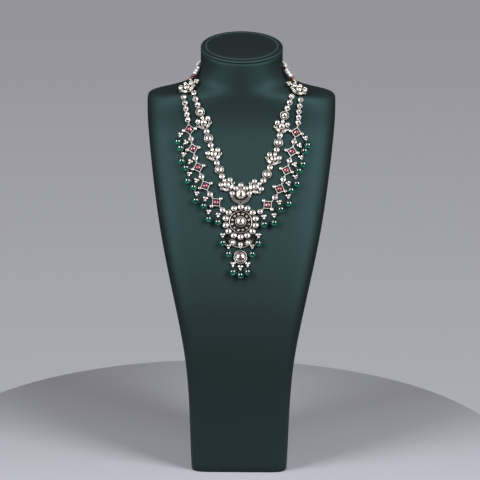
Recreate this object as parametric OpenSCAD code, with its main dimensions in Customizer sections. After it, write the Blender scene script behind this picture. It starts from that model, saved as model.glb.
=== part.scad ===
// A kundan necklace of two stone-set strands, with a medallion and emerald drops, on a tall neck bust.
// Millimetres. The front is -Y, left and right are as seen from the front, and the origin is the middle of
// the underside.

/* [Bust] */
// Height of the torso, up to where the shoulders start to close
torso_h = 450; // [400:1:540]
// Height of the curve that carries the shoulders into the neck
shoulder_h = 62; // [52:1:76]
// Height of the round neck above that curve, at its axis
neck_h = 11; // [9:1:30]
// Width of the base
base_w = 123; // [105:1:150]
// Width across the shoulders
shoulder_w = 243; // [215:1:300]
// Diameter of the neck
neck_d = 106; // [95:1:112]
// How far the belly stands in front of the neck
belly_out = 104.5; // [85:0.5:126]
// How far the back of the base stands in front of the back of the neck
base_in = 65; // [50:1:80]
// Forward slope of the neck top, in degrees
top_tilt = 13.3; // [0:0.1:16]
// Thickness of the padded disc on the neck, at its edge
pad_t = 3.2; // [2:0.1:8]
// Rise of that disc from its edge to its middle
pad_crown = 2.6; // [1:0.1:6]

/* [Settings] */
// Gap between a setting and the leatherette
lift = 0.7; // [0.4:0.1:1.2]
// Gap between neighbouring pieces
piece_gap = 0.35; // [0.2:0.05:0.8]
// Thickness of a setting's back plate
back_t = 1.2; // [0.8:0.1:2]
// Wall of a bezel
wall = 0.7; // [0.4:0.1:1]
// Depth of a bezel's pocket
pocket = 1.1; // [0.6:0.1:1.6]
// Gap round a stone in its pocket
stone_fit = 0.1; // [0.05:0.05:0.2]
// Height of a bezel round a small stone
low_h = 2.6; // [2:0.1:4]
// Height of a bezel round a main stone
high_h = 3.6; // [3:0.1:5]

/* [Strand links] */
// Diameter of a collet in the inner strand
inner_collet_d = 7; // [5:0.1:8]
// Diameter of a collet in the outer strand
outer_collet_d = 6.7; // [5:0.1:8]
// Outer diameter of a ring link
ring_d = 11.4; // [9:0.1:13]
// Diameter of a ring link's bezel
ring_cup_d = 7.4; // [5:0.1:8.5]
// Diameter of the bezel in the middle of a flower
flower_cup_d = 7.6; // [6:0.1:8]
// Diameter of the two side petals' bezels
petal_d = 6; // [4:0.1:6.6]
// Distance of the side petals from the middle of a flower
petal_reach = 7.5; // [7:0.1:8.5]
// Diameter of the top petal's bezel
top_petal_d = 4.6; // [3.5:0.1:5]
// Distance of the top petal from the middle of a flower
top_petal_reach = 6.1; // [5.8:0.1:7]
// Outer radius of the leaf crescent under a flower
leaf_r = 8.6; // [8:0.1:9.5]
// Width of that crescent at its middle
leaf_w = 4; // [3:0.1:4.4]
// Outer diameter of the open curls at its ends
curl_d = 4.4; // [3:0.1:5]
// Side of the open frame of a square link
square_w = 9.9; // [9:0.1:12]
// Bar of that frame
square_bar = 1.1; // [0.8:0.1:1.6]
// Length of the lugs on its upper and lower corner
square_lug = 2.2; // [1:0.1:2.5]
// Diameter of the bezel round its ruby
ruby_cup_d = 6.6; // [4.5:0.1:7]
// Diameter of the bezels on its side corners
corner_cup_d = 4.2; // [3:0.1:5]

/* [End plates] */
// Size of an end plate's flower, against a strand's flower
plate_scale = 1.08; // [1:0.01:1.2]
// How far an end plate leans forward from the shoulder under it, in degrees
plate_lean = 14; // [0:1:16]
// How far it leans outward, in degrees
plate_tilt = 6; // [0:1:12]
// Gap between an end plate and the leatherette, at its middle
plate_gap = 3.4; // [1:0.1:4]
// Distance of its rosette from the middle of its flower
rosette_reach = 14.3; // [13.8:0.1:15]
// Diameter of the bezels of its rosette and of its string eye
rosette_cup_d = 3; // [2.4:0.1:3.6]

/* [Centre piece] */
// Radius of the pear stone's bezel
pear_r = 5.9; // [5:0.1:6.4]
// Distance from the middle of its round end to its point
pear_l = 8.4; // [7:0.1:8.8]
// Radius of the back plate
centre_back_r = 9.4; // [8.5:0.1:10]
// Diameter of the bezels round the pear
centre_cup_d = 6.4; // [4.5:0.1:6.8]
// Outer radius of the crescent under the pear
crescent_r = 12.6; // [12:0.1:13]
// Width of that crescent at its middle
crescent_w = 3.8; // [3:0.1:4.5]

/* [Medallion] */
// Outer diameter of the rim
rim_d = 29; // [24:0.5:35]
// Height of the rim
rim_h = 3.2; // [2.4:0.1:4.5]
// Diameter of the ring round the middle stone
boss_ring_d = 13.6; // [12:0.1:15]
// Diameter of the bezel round the middle stone
boss_d = 9.6; // [8:0.1:11]
// Height of the bezel round the middle stone
boss_h = 7.4; // [5:0.1:9]
// Number of round stones outside the rim
rays = 14; // [12:1:15]
// Diameter of the bezel round each of them
ray_d = 7.2; // [6:0.1:7.6]
// Number of small stones inside the rim
seeds = 12; // [8:1:14]
// Diameter of the bezel round each small stone
seed_d = 4.2; // [2.6:0.1:4.4]

/* [Pendant] */
// How far the middle of the fan lies below the medallion's outer stones
fan_drop = 5.5; // [4:0.1:8]
// Radius of the fan's lower rim
fan_r = 18.5; // [17:0.5:20]
// Diameter of the bezels in the fan
fan_cup_d = 5.2; // [4:0.1:6]
// Radius of the round end of the fan's kite stone
kite_r = 2.9; // [2.4:0.1:3.4]
// Diameter of the round drop
drop_d = 16.8; // [14:0.1:17.2]
// Diameter of the bezel in the round drop
drop_cup_d = 12.4; // [8:0.1:12.8]

/* [Emerald drops] */
// Widest diameter of an emerald drop
emerald_d = 9.3; // [7:0.1:9.6]
// Length of an emerald drop
emerald_l = 11; // [9.8:0.1:11.6]
// Diameter of its pierced tip
tip_d = 3; // [2:0.1:4]
// Diameter of each lobe of a three-stone cap
lobe_d = 3.2; // [2.4:0.1:3.4]
// Distance of the lobes from the middle of a cap
lobe_reach = 2; // [1.6:0.1:2.2]

/* [Nape string] */
// Diameter of the pearls
pearl_d = 5; // [4:0.1:5.6]
// Diameter of the red and gold beads
accent_d = 4.4; // [3.5:0.1:5]
// Diameter of the silk thread
thread_d = 1; // [0.8:0.1:1.6]
// Length of the barrel clasp
clasp_l = 10; // [8:0.5:14]

/* [Hidden] */
SIDES = ["left", "right"];
FLOWERS = 3;
SQUARES = 5;
$fn = 48;

neck_r = neck_d / 2;
neck_base_z = torso_h + shoulder_h;
neck_top_z = neck_base_z + neck_h;

function mix(a, b, t) = a + (b - a) * t;
function unit(v) = v / norm(v);
function power(x, e) = sign(x) * pow(abs(x), e);

// Sections of the torso. Columns: height, width from base to shoulders, front from neck to belly,
// back from neck to base, squareness of the outline
torso_rows = [
    [0, 0, 0.92, 1, 9],
    [0.031, 0.013, 0.935, 1, 9],
    [0.104, 0.03, 0.96, 0.985, 9],
    [0.2135, 0.063, 0.99, 0.955, 8],
    [0.313, 0.13, 1, 0.91, 7.3],
    [0.3828, 0.215, 0.985, 0.875, 7],
    [0.4624, 0.335, 0.94, 0.83, 7],
    [0.5371, 0.465, 0.86, 0.77, 6.5],
    [0.6167, 0.6, 0.74, 0.69, 6],
    [0.6914, 0.715, 0.595, 0.6, 5.5],
    [0.771, 0.815, 0.425, 0.49, 5],
    [0.8507, 0.9, 0.24, 0.385, 4.6],
    [0.8935, 0.94, 0.14, 0.32, 4.3],
    [0.9373, 0.975, 0.052, 0.26, 4],
    [0.9701, 0.995, 0.014, 0.215, 3.8],
    [1, 1, 0.002, 0.17, 3.5]
];
// Sections of the shoulders. Columns: height, width from neck to shoulders, back from neck to base,
// squareness of the outline
shoulder_rows = [
    [0.16, 1, 0.13, 3],
    [0.26, 0.975, 0.115, 2.6],
    [0.32, 0.86, 0.105, 2.35],
    [0.375, 0.63, 0.095, 2.1],
    [0.43, 0.45, 0.08, 1.95],
    [0.475, 0.33, 0.065, 1.85],
    [0.535, 0.215, 0.045, 1.82],
    [0.6, 0.125, 0.03, 1.88],
    [0.68, 0.055, 0.015, 1.95],
    [0.8, 0.01, 0, 2],
    [1, 0, 0, 2]
];

// Distance of the neck's axis behind the middle of the base
neck_y = (belly_out * torso_rows[0][2] + base_in * torso_rows[0][3]) / 2;

// Columns of a section at its real size, with its front and back measured from the middle of the base
Z = 0;
HALF = 1;
FRONT = 2;
BACK = 3;
SQUARE = 4;
sections = concat(
    [for (r = torso_rows) [
        r[0] * torso_h,
        mix(base_w, shoulder_w, r[1]) / 2,
        neck_r + belly_out * r[2] - neck_y,
        neck_r - base_in * r[3] + neck_y,
        r[4]
    ]],
    [for (r = shoulder_rows) [
        torso_h + r[0] * shoulder_h,
        mix(neck_d, shoulder_w, r[1]) / 2,
        neck_r - neck_y,
        neck_r - base_in * r[2] + neck_y,
        r[3]
    ]],
    [[neck_top_z + neck_r, neck_r, neck_r - neck_y, neck_r + neck_y, 2]]
);
last_section = len(sections) - 1;

// Rate of change of every column at one section
function slope_at(i) =
    let (a = sections[max(i - 1, 0)], b = sections[min(i + 1, last_section)])
    (b - a) / (b[Z] - a[Z]);

function interval_of(z, i = 0) =
    i >= last_section - 1 || sections[i + 1][Z] >= z ? i : interval_of(z, i + 1);

// The section at any height, on a smooth curve through the rows
function section_at(z) =
    let (
        i = interval_of(z),
        a = sections[i],
        b = sections[i + 1],
        h = b[Z] - a[Z],
        t = (z - a[Z]) / h,
        s = t * t * (3 - 2 * t)
    )
    a * (1 - s) + b * s
    + slope_at(i) * h * t * (1 - t) * (1 - t)
    - slope_at(i + 1) * h * t * t * (1 - t);

function middle_y(s) = (s[BACK] - s[FRONT]) / 2;
function half_depth(s) = (s[BACK] + s[FRONT]) / 2;

// Below zero inside the bust, zero on its skin
function skin(p) =
    let (s = section_at(p[2]))
    pow(abs(p[0] / s[HALF]), s[SQUARE])
    + pow(abs((p[1] - middle_y(s)) / half_depth(s)), s[SQUARE]) - 1;

// Point on the front of the bust at a distance from the centre plane and a height
function front_point(x, z) =
    let (s = section_at(z), across = min(abs(x / s[HALF]), 1))
    [x, middle_y(s) - half_depth(s) * pow(1 - pow(across, s[SQUARE]), 1 / s[SQUARE]), z];

probe = 0.2;
axes = [[probe, 0, 0], [0, probe, 0], [0, 0, probe]];
function normal_at(p) = unit([for (a = axes) skin(p + a) - skin(p - a)]);

// Direction in the skin that comes nearest to v
function in_skin(v, n) = unit(v - (v * n) * n);

// Distance down the centre line, walked in short steps
walk_step = 0.5;
function centre_z(z, down) =
    down <= 0 ? z
    : let (run = front_point(0, z) - front_point(0, z - walk_step))
      centre_z(z - walk_step * min(walk_step, down) / norm(run), down - walk_step);

// Routes of the strands, from the end plates to the centre.
// Columns: distance from the centre plane, depth below the foot of the neck
inner_route_left = [
    [60.3, 41], [57.5, 48], [52, 63], [44.5, 86], [39, 103], [31, 123.5], [24.5, 139], [17.8, 149.5]
];
inner_route_right = [
    [63.3, 43.5], [61, 50.5], [54.8, 66], [49.4, 90], [45.5, 107.5], [37, 128.5], [29, 144], [19, 152]
];
outer_route_left = [
    [72.8, 45.5], [70.3, 58.5], [67.5, 75], [64, 95], [59, 116], [51, 138], [40, 159.5], [22.8, 179]
];
outer_route_right = [
    [74.8, 47.5], [73, 61], [72, 77.5], [67.6, 97.5], [62, 119.5], [54.5, 141], [43.5, 163.5], [24.4, 180.5]
];
inner_routes = [inner_route_left, inner_route_right];
outer_routes = [outer_route_left, outer_route_right];
WAY = [-1, 1];

// Links from the end plate to the centre
inner_links = [
    "collet", "collet", "collet", "ring", "flower",
    "collet", "ring", "collet", "flower",
    "collet", "ring", "collet", "flower"
];
outer_links = [
    "collet", "collet", "collet", "collet", "collet",
    "square", "collet", "square", "collet", "square",
    "collet", "square", "collet", "square", "collet"
];
flower_l = 2 * leaf_r;
square_l = square_w * sqrt(2) + 2 * square_lug;

function inner_length(kind) = kind == "collet" ? inner_collet_d : kind == "ring" ? ring_d : flower_l;
function outer_length(kind) = kind == "collet" ? outer_collet_d : square_l;

// Smooth curve through the points of a route
function on_curve(points, u) =
    let (
        last = len(points) - 1,
        i = min(floor(u), last - 1),
        t = u - i,
        b = points[i],
        c = points[i + 1],
        a = i > 0 ? points[i - 1] : 2 * b - c,
        d = i + 2 <= last ? points[i + 2] : 2 * c - b
    )
    (2 * b + (c - a) * t + (2 * a - 5 * b + 4 * c - d) * t * t + (3 * b - a - 3 * c + d) * t * t * t) / 2;

function route_point(route, way, u) =
    let (q = on_curve(route, u))
    front_point(way * q[0], neck_base_z - q[1]);

// Table of length along a strand against place on its route
marks_per_span = 8;
function strand_marks(route, way) =
    let (
        steps = (len(route) - 1) * marks_per_span,
        p = [for (i = [0:steps]) route_point(route, way, i / marks_per_span)]
    )
    [for (i = 0, run = 0; i <= steps; i = i + 1, run = i <= steps ? run + norm(p[i] - p[i - 1]) : run)
        [run, i / marks_per_span]];

// Distance of each link's middle from the first one's, with the links in contact
function link_starts(lengths) =
    [for (i = 0, run = 0; i < len(lengths);
        i = i + 1, run = i < len(lengths) ? run + (lengths[i - 1] + lengths[i]) / 2 : run) run];

// Place and direction of each link of a strand, spread evenly over its route: [point, direction]
nudge = 0.05;
function strand_seats(route, way, lengths) =
    let (
        marks = strand_marks(route, way),
        total = marks[len(marks) - 1][0],
        starts = link_starts(lengths),
        last = len(lengths) - 1,
        spare = (total - starts[last]) / last
    )
    [for (i = [0:last])
        let (
            run = min(starts[i] + spare * i, total),
            u = lookup(run, marks),
            p = route_point(route, way, u),
            ahead = route_point(route, way, min(u + nudge, len(route) - 1)),
            behind = route_point(route, way, max(u - nudge, 0))
        )
        [p, in_skin(ahead - behind, normal_at(p))]];

inner_seats = [for (side = [0, 1])
    strand_seats(inner_routes[side], WAY[side], [for (k = inner_links) inner_length(k)])];
outer_seats = [for (side = [0, 1])
    strand_seats(outer_routes[side], WAY[side], [for (k = outer_links) outer_length(k)])];

function seats_of(kind, kinds, seats) = [for (i = [0:len(kinds) - 1]) if (kinds[i] == kind) seats[i]];

POINT = 0;
DIRECTION = 1;
UP = [0, 0, 1];

// Puts a piece with its back over a point of the skin and its top towards a direction
module seat(point, top, gap = lift) {
    n = normal_at(point);
    y = in_skin(top, n);
    x = cross(y, n);
    multmatrix([
        [x[0], y[0], n[0], point[0] + gap * n[0]],
        [x[1], y[1], n[1], point[1] + gap * n[1]],
        [x[2], y[2], n[2], point[2] + gap * n[2]]
    ]) children();
}

// Bezels of each kind of link. Columns: x, y, diameter, height
CUP_X = 0;
CUP_Y = 1;
CUP_D = 2;
CUP_H = 3;
side_petal_angle = 62;
ring_cups = [[0, 0, ring_cup_d, high_h]];
flower_cups = concat(
    [[0, 0, flower_cup_d, high_h], [0, top_petal_reach, top_petal_d, low_h]],
    [for (way = [-1, 1])
        [way * petal_reach * sin(side_petal_angle), petal_reach * cos(side_petal_angle), petal_d, low_h]]
);
corner_share = 0.15;
corner_reach = square_w / sqrt(2) + corner_cup_d * corner_share;
corner_cups = [for (way = [-1, 1]) [way * corner_reach, 0, corner_cup_d, low_h]];
ruby_cups = [[0, 0, ruby_cup_d, high_h]];
centre_side_cups = [[6.3, 7.9], [10.7, 1.2]];
centre_cups = concat(
    [[0, pear_l + piece_gap + centre_cup_d / 2, centre_cup_d, low_h]],
    [for (p = centre_side_cups) for (way = [-1, 1]) [way * p[0], p[1], centre_cup_d, low_h]]
);
rim_wall = 1;
ray_gap = 1.25;
ray_reach = (rim_d + ray_d) / 2 + ray_gap;
medallion_r = ray_reach + ray_d / 2;
seed_reach = (rim_d / 2 - rim_wall + boss_ring_d / 2) / 2;
seed_rise = 1;
medallion_cups = concat(
    [[0, 0, boss_d, boss_h]],
    [for (i = [0:rays - 1]) [ray_reach * sin(i * 360 / rays), ray_reach * cos(i * 360 / rays), ray_d, rim_h]]
);
seed_cups = [for (i = [0:seeds - 1])
    let (a = (i + 0.5) * 360 / seeds)
    [seed_reach * sin(a), seed_reach * cos(a), seed_d, back_t + seed_rise]];
fan_down = medallion_r + fan_drop;
fan_cup_place = [9.6, 2.2];
fan_cups = [for (way = [-1, 1]) [way * fan_cup_place[0], fan_cup_place[1], fan_cup_d, low_h]];
drop_cups = [[0, 0, drop_cup_d, high_h]];

// How far a cut runs past the surface it opens
over = 1;

// A soldered setting: the back given as children, with its bezels, each with a pocket
module setting(cups) {
    difference() {
        union() {
            children();
            for (c = cups)
                translate([c[CUP_X], c[CUP_Y], 0])
                    cylinder(d = c[CUP_D], h = c[CUP_H]);
        }
        for (c = cups)
            translate([c[CUP_X], c[CUP_Y], c[CUP_H] - pocket])
                cylinder(d = c[CUP_D] - 2 * wall, h = pocket + over);
    }
}

// A cut stone with a straight girdle and a tapered crown
girdle_share = 0.16;
crown_share = 0.2;
table_share = 0.55;
module cut_stone(d) {
    cylinder(d = d, h = d * girdle_share);
    translate([0, 0, d * girdle_share])
        cylinder(d1 = d, d2 = d * table_share, h = d * crown_share);
}

module stones_in(cups) {
    for (c = cups)
        translate([c[CUP_X], c[CUP_Y], c[CUP_H] - pocket + stone_fit])
            cut_stone(c[CUP_D] - 2 * (wall + stone_fit));
}

module ring(d, h, w = wall) {
    difference() {
        cylinder(d = d, h = h);
        translate([0, 0, -over]) cylinder(d = d - 2 * w, h = h + 2 * over);
    }
}

module small_collet(d) {
    setting([[0, 0, d, low_h]]) cylinder(d = d, h = back_t);
}

module ring_setting() {
    setting(ring_cups) {
        cylinder(d = ring_d, h = back_t);
        ring(ring_d, low_h);
    }
}

// A leaf shape with two pointed ends, along x
module leaf(l, w, inset = 0) {
    arc_r = (l * l + w * w) / (4 * w);
    intersection_for (way = [-1, 1])
        translate([0, way * (arc_r - w / 2)]) circle(r = arc_r - inset);
}

// Places its children at the two leaf stones of a flower's crescent
leaf_l = 6.4;
leaf_turn = 36;
module at_leaves() {
    for (way = [-1, 1])
        rotate(way * leaf_turn) translate([0, leaf_w / 2 - leaf_r]) children();
}

// A crescent open upwards. Its inner circle sits up by rise, and it ends level with top
module crescent(r, w, rise, top) {
    difference() {
        circle(r = r);
        translate([0, rise]) circle(r = r + rise - w);
        translate([-r, top]) square(2 * r);
    }
}

// Three petals over a middle bezel, and a crescent with open curls under it
curl_angle = 104;
curl_reach = leaf_r - 0.5;
curl_h = low_h - 0.2;
leaf_rise = 3;
leaf_top = -2;
leaf_stone_h = 1.2;
module flower_setting() {
    difference() {
        setting(flower_cups) {
            cylinder(r = petal_reach - 1, h = back_t);
            linear_extrude(height = low_h) crescent(leaf_r, leaf_w, leaf_rise, leaf_top);
            for (way = [-1, 1])
                rotate(way * curl_angle)
                    translate([0, curl_reach, 0])
                        cylinder(d = curl_d, h = curl_h);
        }
        for (way = [-1, 1])
            rotate(way * curl_angle)
                translate([0, curl_reach, back_t])
                    cylinder(d = curl_d - 2 * wall, h = low_h);
        translate([0, 0, low_h - pocket])
            linear_extrude(height = pocket + over)
                at_leaves() leaf(leaf_l, leaf_w - 2 * wall);
    }
}

module flower_stones() {
    stones_in(flower_cups);
    translate([0, 0, low_h - pocket + stone_fit])
        linear_extrude(height = leaf_stone_h) at_leaves() leaf(leaf_l, leaf_w - 2 * wall, stone_fit);
}

// Four small bezels in a cross, beside an end plate's flower, on the side of the neck
rosette_angle = 80;
rosette_spread = 0.72 * rosette_cup_d;
function rosette_cups(way) =
    let (mid = [-way * rosette_reach * sin(rosette_angle), rosette_reach * cos(rosette_angle)])
    [for (a = [0:90:270])
        [mid[0] + rosette_spread * cos(a), mid[1] + rosette_spread * sin(a), rosette_cup_d, low_h]];

// A bezel like them between the flower's petals, where the nape string starts
eye_angle = 40;
eye_reach = 12.5;
function eye_cups(way) = [
    [-way * eye_reach * sin(eye_angle), eye_reach * cos(eye_angle), rosette_cup_d, low_h]
];

module arm(angle, from, to, w) {
    rotate(angle) translate([-w / 2, from, 0]) cube([w, to - from, back_t]);
}

module plate_setting(way) {
    scale(plate_scale) flower_setting();
    setting(concat(rosette_cups(way), eye_cups(way))) {
        arm(way * rosette_angle, petal_reach, rosette_reach + rosette_cup_d / 2, rosette_cup_d);
        arm(way * eye_angle, flower_cup_d / 4, eye_reach, rosette_cup_d / 2);
    }
}

lug_w = 1.8;
lug_root = 1;
module square_setting() {
    inner_w = square_w - 2 * square_bar;
    setting(concat(ruby_cups, corner_cups)) {
        linear_extrude(height = low_h)
            rotate(45)
                difference() {
                    square(square_w, center = true);
                    square(inner_w, center = true);
                }
        linear_extrude(height = back_t)
            rotate(45) {
                square([square_bar, square_w - square_bar], center = true);
                square([square_w - square_bar, square_bar], center = true);
            }
        for (way = [-1, 1])
            translate([0, way * (square_l - square_lug - lug_root) / 2, back_t / 2])
                cube([lug_w, square_lug + lug_root, back_t], center = true);
    }
}

// A round end with two straight sides that meet in a point at distance l, inset by w
pear_steps = 28;
module pear(r, l, w = 0) {
    turn = acos(r / l);
    polygon(concat(
        [[0, l * (r - w) / r]],
        [for (i = [0:pear_steps])
            let (a = mix(turn, 360 - turn, i / pear_steps))
            (r - w) * [sin(a), cos(a)]]
    ));
}

crescent_rise = 2;
crescent_top = -3;
pear_stone_h = 2;
module centre_setting() {
    difference() {
        setting(centre_cups) {
            cylinder(r = centre_back_r, h = back_t);
            linear_extrude(height = low_h) crescent(crescent_r, crescent_w, crescent_rise, crescent_top);
            linear_extrude(height = high_h) pear(pear_r, pear_l);
        }
        translate([0, 0, high_h - pocket])
            linear_extrude(height = pocket + over) pear(pear_r, pear_l, wall);
    }
}

module centre_piece_stones() {
    stones_in(centre_cups);
    translate([0, 0, high_h - pocket + stone_fit])
        linear_extrude(height = pear_stone_h) pear(pear_r, pear_l, wall + stone_fit);
}

boss_floor_h = 1.8;
boss_ring_h = 5;
module medallion_setting() {
    setting(concat(medallion_cups, seed_cups)) {
        cylinder(r = ray_reach - ray_d / 4, h = back_t);
        ring(rim_d, rim_h, rim_wall);
        cylinder(d = boss_ring_d, h = boss_floor_h);
        ring(boss_ring_d, boss_ring_h);
    }
}

// Crescent under the medallion, clear of its outer stones
fan_bottom = 4.5;
kite_y = -0.6;
kite_l = 1.95 * kite_r;
kite_stone_h = 1.6;
module fan_outline(r) {
    difference() {
        translate([0, fan_r - fan_bottom]) circle(r = r);
        translate([0, fan_down]) circle(r = medallion_r + piece_gap);
    }
}

module kite(inset) {
    translate([0, kite_y]) rotate(180) pear(kite_r, kite_l, inset);
}

module fan_setting() {
    difference() {
        setting(fan_cups) {
            linear_extrude(height = back_t) fan_outline(fan_r);
            linear_extrude(height = low_h)
                difference() {
                    fan_outline(fan_r);
                    fan_outline(fan_r - rim_wall);
                }
            linear_extrude(height = high_h) kite(0);
        }
        translate([0, 0, high_h - pocket]) linear_extrude(height = pocket + over) kite(wall);
    }
}

module fan_stones() {
    stones_in(fan_cups);
    translate([0, 0, high_h - pocket + stone_fit])
        linear_extrude(height = kite_stone_h) kite(wall + stone_fit);
}

eye_d = 2.6;
module drop_setting() {
    setting(drop_cups) {
        cylinder(d = drop_d, h = back_t);
        ring(drop_d, low_h, rim_wall);
        translate([0, drop_d / 2, 0]) cylinder(d = eye_d, h = back_t);
    }
}

// Three small lobes in a trefoil, one of them down
lobe_h = 2;
web_h = 1.5;
module cap_setting() {
    for (a = [30, 150, 270])
        rotate(a) translate([lobe_reach, 0, 0]) cylinder(d = lobe_d, h = lobe_h);
    cylinder(d = lobe_d, h = web_h);
}

// A drop with its round end down and its pierced tip up, its middle at the origin
shoulder_share = 0.16;
module emerald() {
    round_y = (emerald_d - emerald_l) / 2;
    translate([0, round_y, 0]) sphere(d = emerald_d);
    shoulder_y = emerald_d * shoulder_share;
    shoulder_r = sqrt(pow(emerald_d / 2, 2) - pow(shoulder_y, 2));
    translate([0, round_y + shoulder_y, 0])
        rotate([-90, 0, 0])
            cylinder(r1 = shoulder_r, r2 = tip_d / 2, h = emerald_l / 2 - round_y - shoulder_y);
}

// The lowest lobe ends this far down, and the drop starts a gap below it
cap_bottom = lobe_reach + lobe_d / 2;
cap_to_drop = cap_bottom + piece_gap + emerald_l / 2;

// Where the caps hang from the links. Columns: outwards from the link, down, swing of the drop in degrees
square_drops = [[11.6, 4.6, 12], [11.6, 4.6, 10], [11.6, 4.4, 8], [11.6, 4.8, 5], [12.2, 4, 0]];
collet_drops = [[6.8, 2.6, 34], [6.8, 2.6, 27], [6.8, 2.4, 18], [6.8, 1.6, 11], [6.8, 1.6, 4]];

// Place and hanging direction of a drop's cap: [point, direction]
function drop_seat(link, way, row) =
    let (
        n = normal_at(link[POINT]),
        across = cross(link[DIRECTION], n),
        out = across * sign(across[0]) * way,
        cap = link[POINT] + out * row[0] + in_skin(-UP, n) * row[1],
        point = front_point(cap[0], cap[2])
    )
    [point, hanging(point, way * row[2])];

// Direction down the skin at a point, swung sideways by an angle
function hanging(point, angle) =
    let (n = normal_at(point), down = in_skin(-UP, n), side = cross(n, down))
    unit(down * cos(angle) + side * sin(angle));

square_seats = [for (side = [0, 1]) seats_of("square", outer_links, outer_seats[side])];
collet_seats = [for (side = [0, 1])
    [for (i = [0:SQUARES - 1]) outer_seats[side][len(outer_links) - 2 * SQUARES + 2 * i + 1]]];
side_drops = [for (side = [0, 1]) concat(
    [for (i = [0:SQUARES - 1]) drop_seat(square_seats[side][i], WAY[side], square_drops[i])],
    [for (i = [0:SQUARES - 1]) drop_seat(collet_seats[side][i], WAY[side], collet_drops[i])]
)];

// Heights of the pieces on the centre line
centre_piece_depth = 160.6;
drop_down = fan_down - kite_y + kite_l + piece_gap + (eye_d + drop_d) / 2;
centre_piece_z = neck_base_z - centre_piece_depth;
medallion_z = centre_z(centre_piece_z, crescent_r + piece_gap + medallion_r);
fan_z = centre_z(medallion_z, fan_down);
round_drop_z = centre_z(medallion_z, drop_down);

// Caps round the pendant. Columns: sideways, down from the medallion's middle
flank_angle = 53;
flank_reach = medallion_r + 5.1;
tip_cap = [-3.5, 2.4];
flank_caps = [
    [flank_reach * sin(flank_angle), flank_reach * cos(flank_angle)],
    [fan_r + tip_cap[0], fan_down + tip_cap[1]]
];
tassel_reach = drop_d / 2 + cap_bottom + 2 * piece_gap;
tassel_angles = [-47, 0, 47];
function pendant_cap(x, down) = front_point(x, centre_z(medallion_z, down));
middle_drops = concat(
    [for (way = WAY) for (c = flank_caps)
        let (point = pendant_cap(way * c[0], c[1])) [point, hanging(point, 0)]],
    [for (a = tassel_angles)
        let (point = pendant_cap(tassel_reach * sin(a), drop_down + tassel_reach * cos(a)))
        [point, hanging(point, 0)]]
);

module caps(seats) {
    for (s = seats) seat(s[POINT], -s[DIRECTION]) cap_setting();
}

module emeralds(seats) {
    for (s = seats) {
        p = s[POINT] + s[DIRECTION] * cap_to_drop;
        seat(front_point(p[0], p[2]), -s[DIRECTION], emerald_d / 2 + piece_gap) emerald();
    }
}

// End plates, with their tops away from the strands.
// Places: left and right, each from the centre plane and below the foot of the neck
plate_places = [[68.5, 37.5], [72, 39]];
plate_top = [0.3, 0.6, 0.6];
function plate_point(side) =
    let (place = plate_places[side])
    front_point(WAY[side] * place[0], neck_base_z - place[1]);
module on_plate(side) {
    way = WAY[side];
    seat(plate_point(side), [way * plate_top[0], plate_top[1], plate_top[2]], plate_gap)
        rotate([plate_lean, way * plate_tilt, 0])
            children();
}

// Nape string, from the end plates' string eyes to the clasp. Columns: angle from the front,
// depth below the foot of the neck, gap that the leatherette falls away under the string
nape_starts = [
    [[68, 32.2, 5.2], [69.6, 29, 5.3], [71.2, 25, 4.8], [73, 20.5, 3.9], [75.2, 16, 2.2]],
    [[68.3, 34.2, 4.9], [70, 31.1, 5.5], [71.7, 27, 5.4], [73.3, 22.4, 4.6], [75.3, 16.7, 2.7]]
];
nape_rest = [[78.5, 12, 0.2], [95, 10.8, 0], [120, 9.6, 0], [150, 8.4, 0], [180, 8, 0]];
nape_routes = [for (start = nape_starts) concat(start, nape_rest)];
nape_spans = len(nape_routes[0]) - 1;

// Point a distance off the skin, at an angle from the front
function around_point(angle, z, off) =
    let (
        s = section_at(z),
        x = sin(angle),
        y = -cos(angle),
        r = pow(pow(abs(x / s[HALF]), s[SQUARE]) + pow(abs(y / half_depth(s)), s[SQUARE]), -1 / s[SQUARE]),
        skin_point = [r * x, r * y + middle_y(s), z]
    )
    skin_point + off * normal_at(skin_point);

nape_off = pearl_d / 2 + piece_gap;
function nape_point(way, u) =
    let (q = on_curve(nape_routes[way < 0 ? 0 : 1], u))
    around_point(way * q[0], neck_base_z - q[1], nape_off + q[2]);

function nape_marks(way) =
    let (
        steps = nape_spans * marks_per_span,
        p = [for (i = [0:steps]) nape_point(way, i / marks_per_span)]
    )
    [for (i = 0, run = 0; i <= steps; i = i + 1, run = i <= steps ? run + norm(p[i] - p[i - 1]) : run)
        [run, i / marks_per_span]];

// A run of touching beads on the thread: bead centres from one length to another
function bead_centres(way, marks, from, count, d) =
    [for (i = [0:count - 1]) nape_point(way, lookup(from + d * (i + 0.5), marks))];

module bead_run(centres, d) {
    for (c = centres) translate(c) sphere(d = d);
    if (len(centres) > 1)
        for (i = [1:len(centres) - 1]) rod(centres[i - 1], centres[i], thread_d);
}

module rod(a, b, d) {
    v = b - a;
    translate(a)
        rotate([0, acos(v[2] / norm(v)), atan2(v[1], v[0])])
            cylinder(d = d, h = norm(v));
}

// Beads from the end plate to the clasp: two accents, three pearls, a red bead, then pearls
front_pearls = 3;
nape_from = rosette_cup_d / 2 + piece_gap;
pearls_from = nape_from + 2 * accent_d + piece_gap;
red_from = pearls_from + front_pearls * pearl_d + piece_gap;
rest_from = red_from + accent_d + piece_gap;
function rest_length(marks) = marks[len(marks) - 1][0] - clasp_l / 2 - piece_gap - rest_from;
function rest_count(marks) = floor(rest_length(marks) / pearl_d);
// The last pearls spread over the length that is left, so that they always reach the clasp
function rest_step(marks) = rest_length(marks) / rest_count(marks);

module bust_body() {
    color("darkslategray") loft(rings_of_bust());
}

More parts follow.
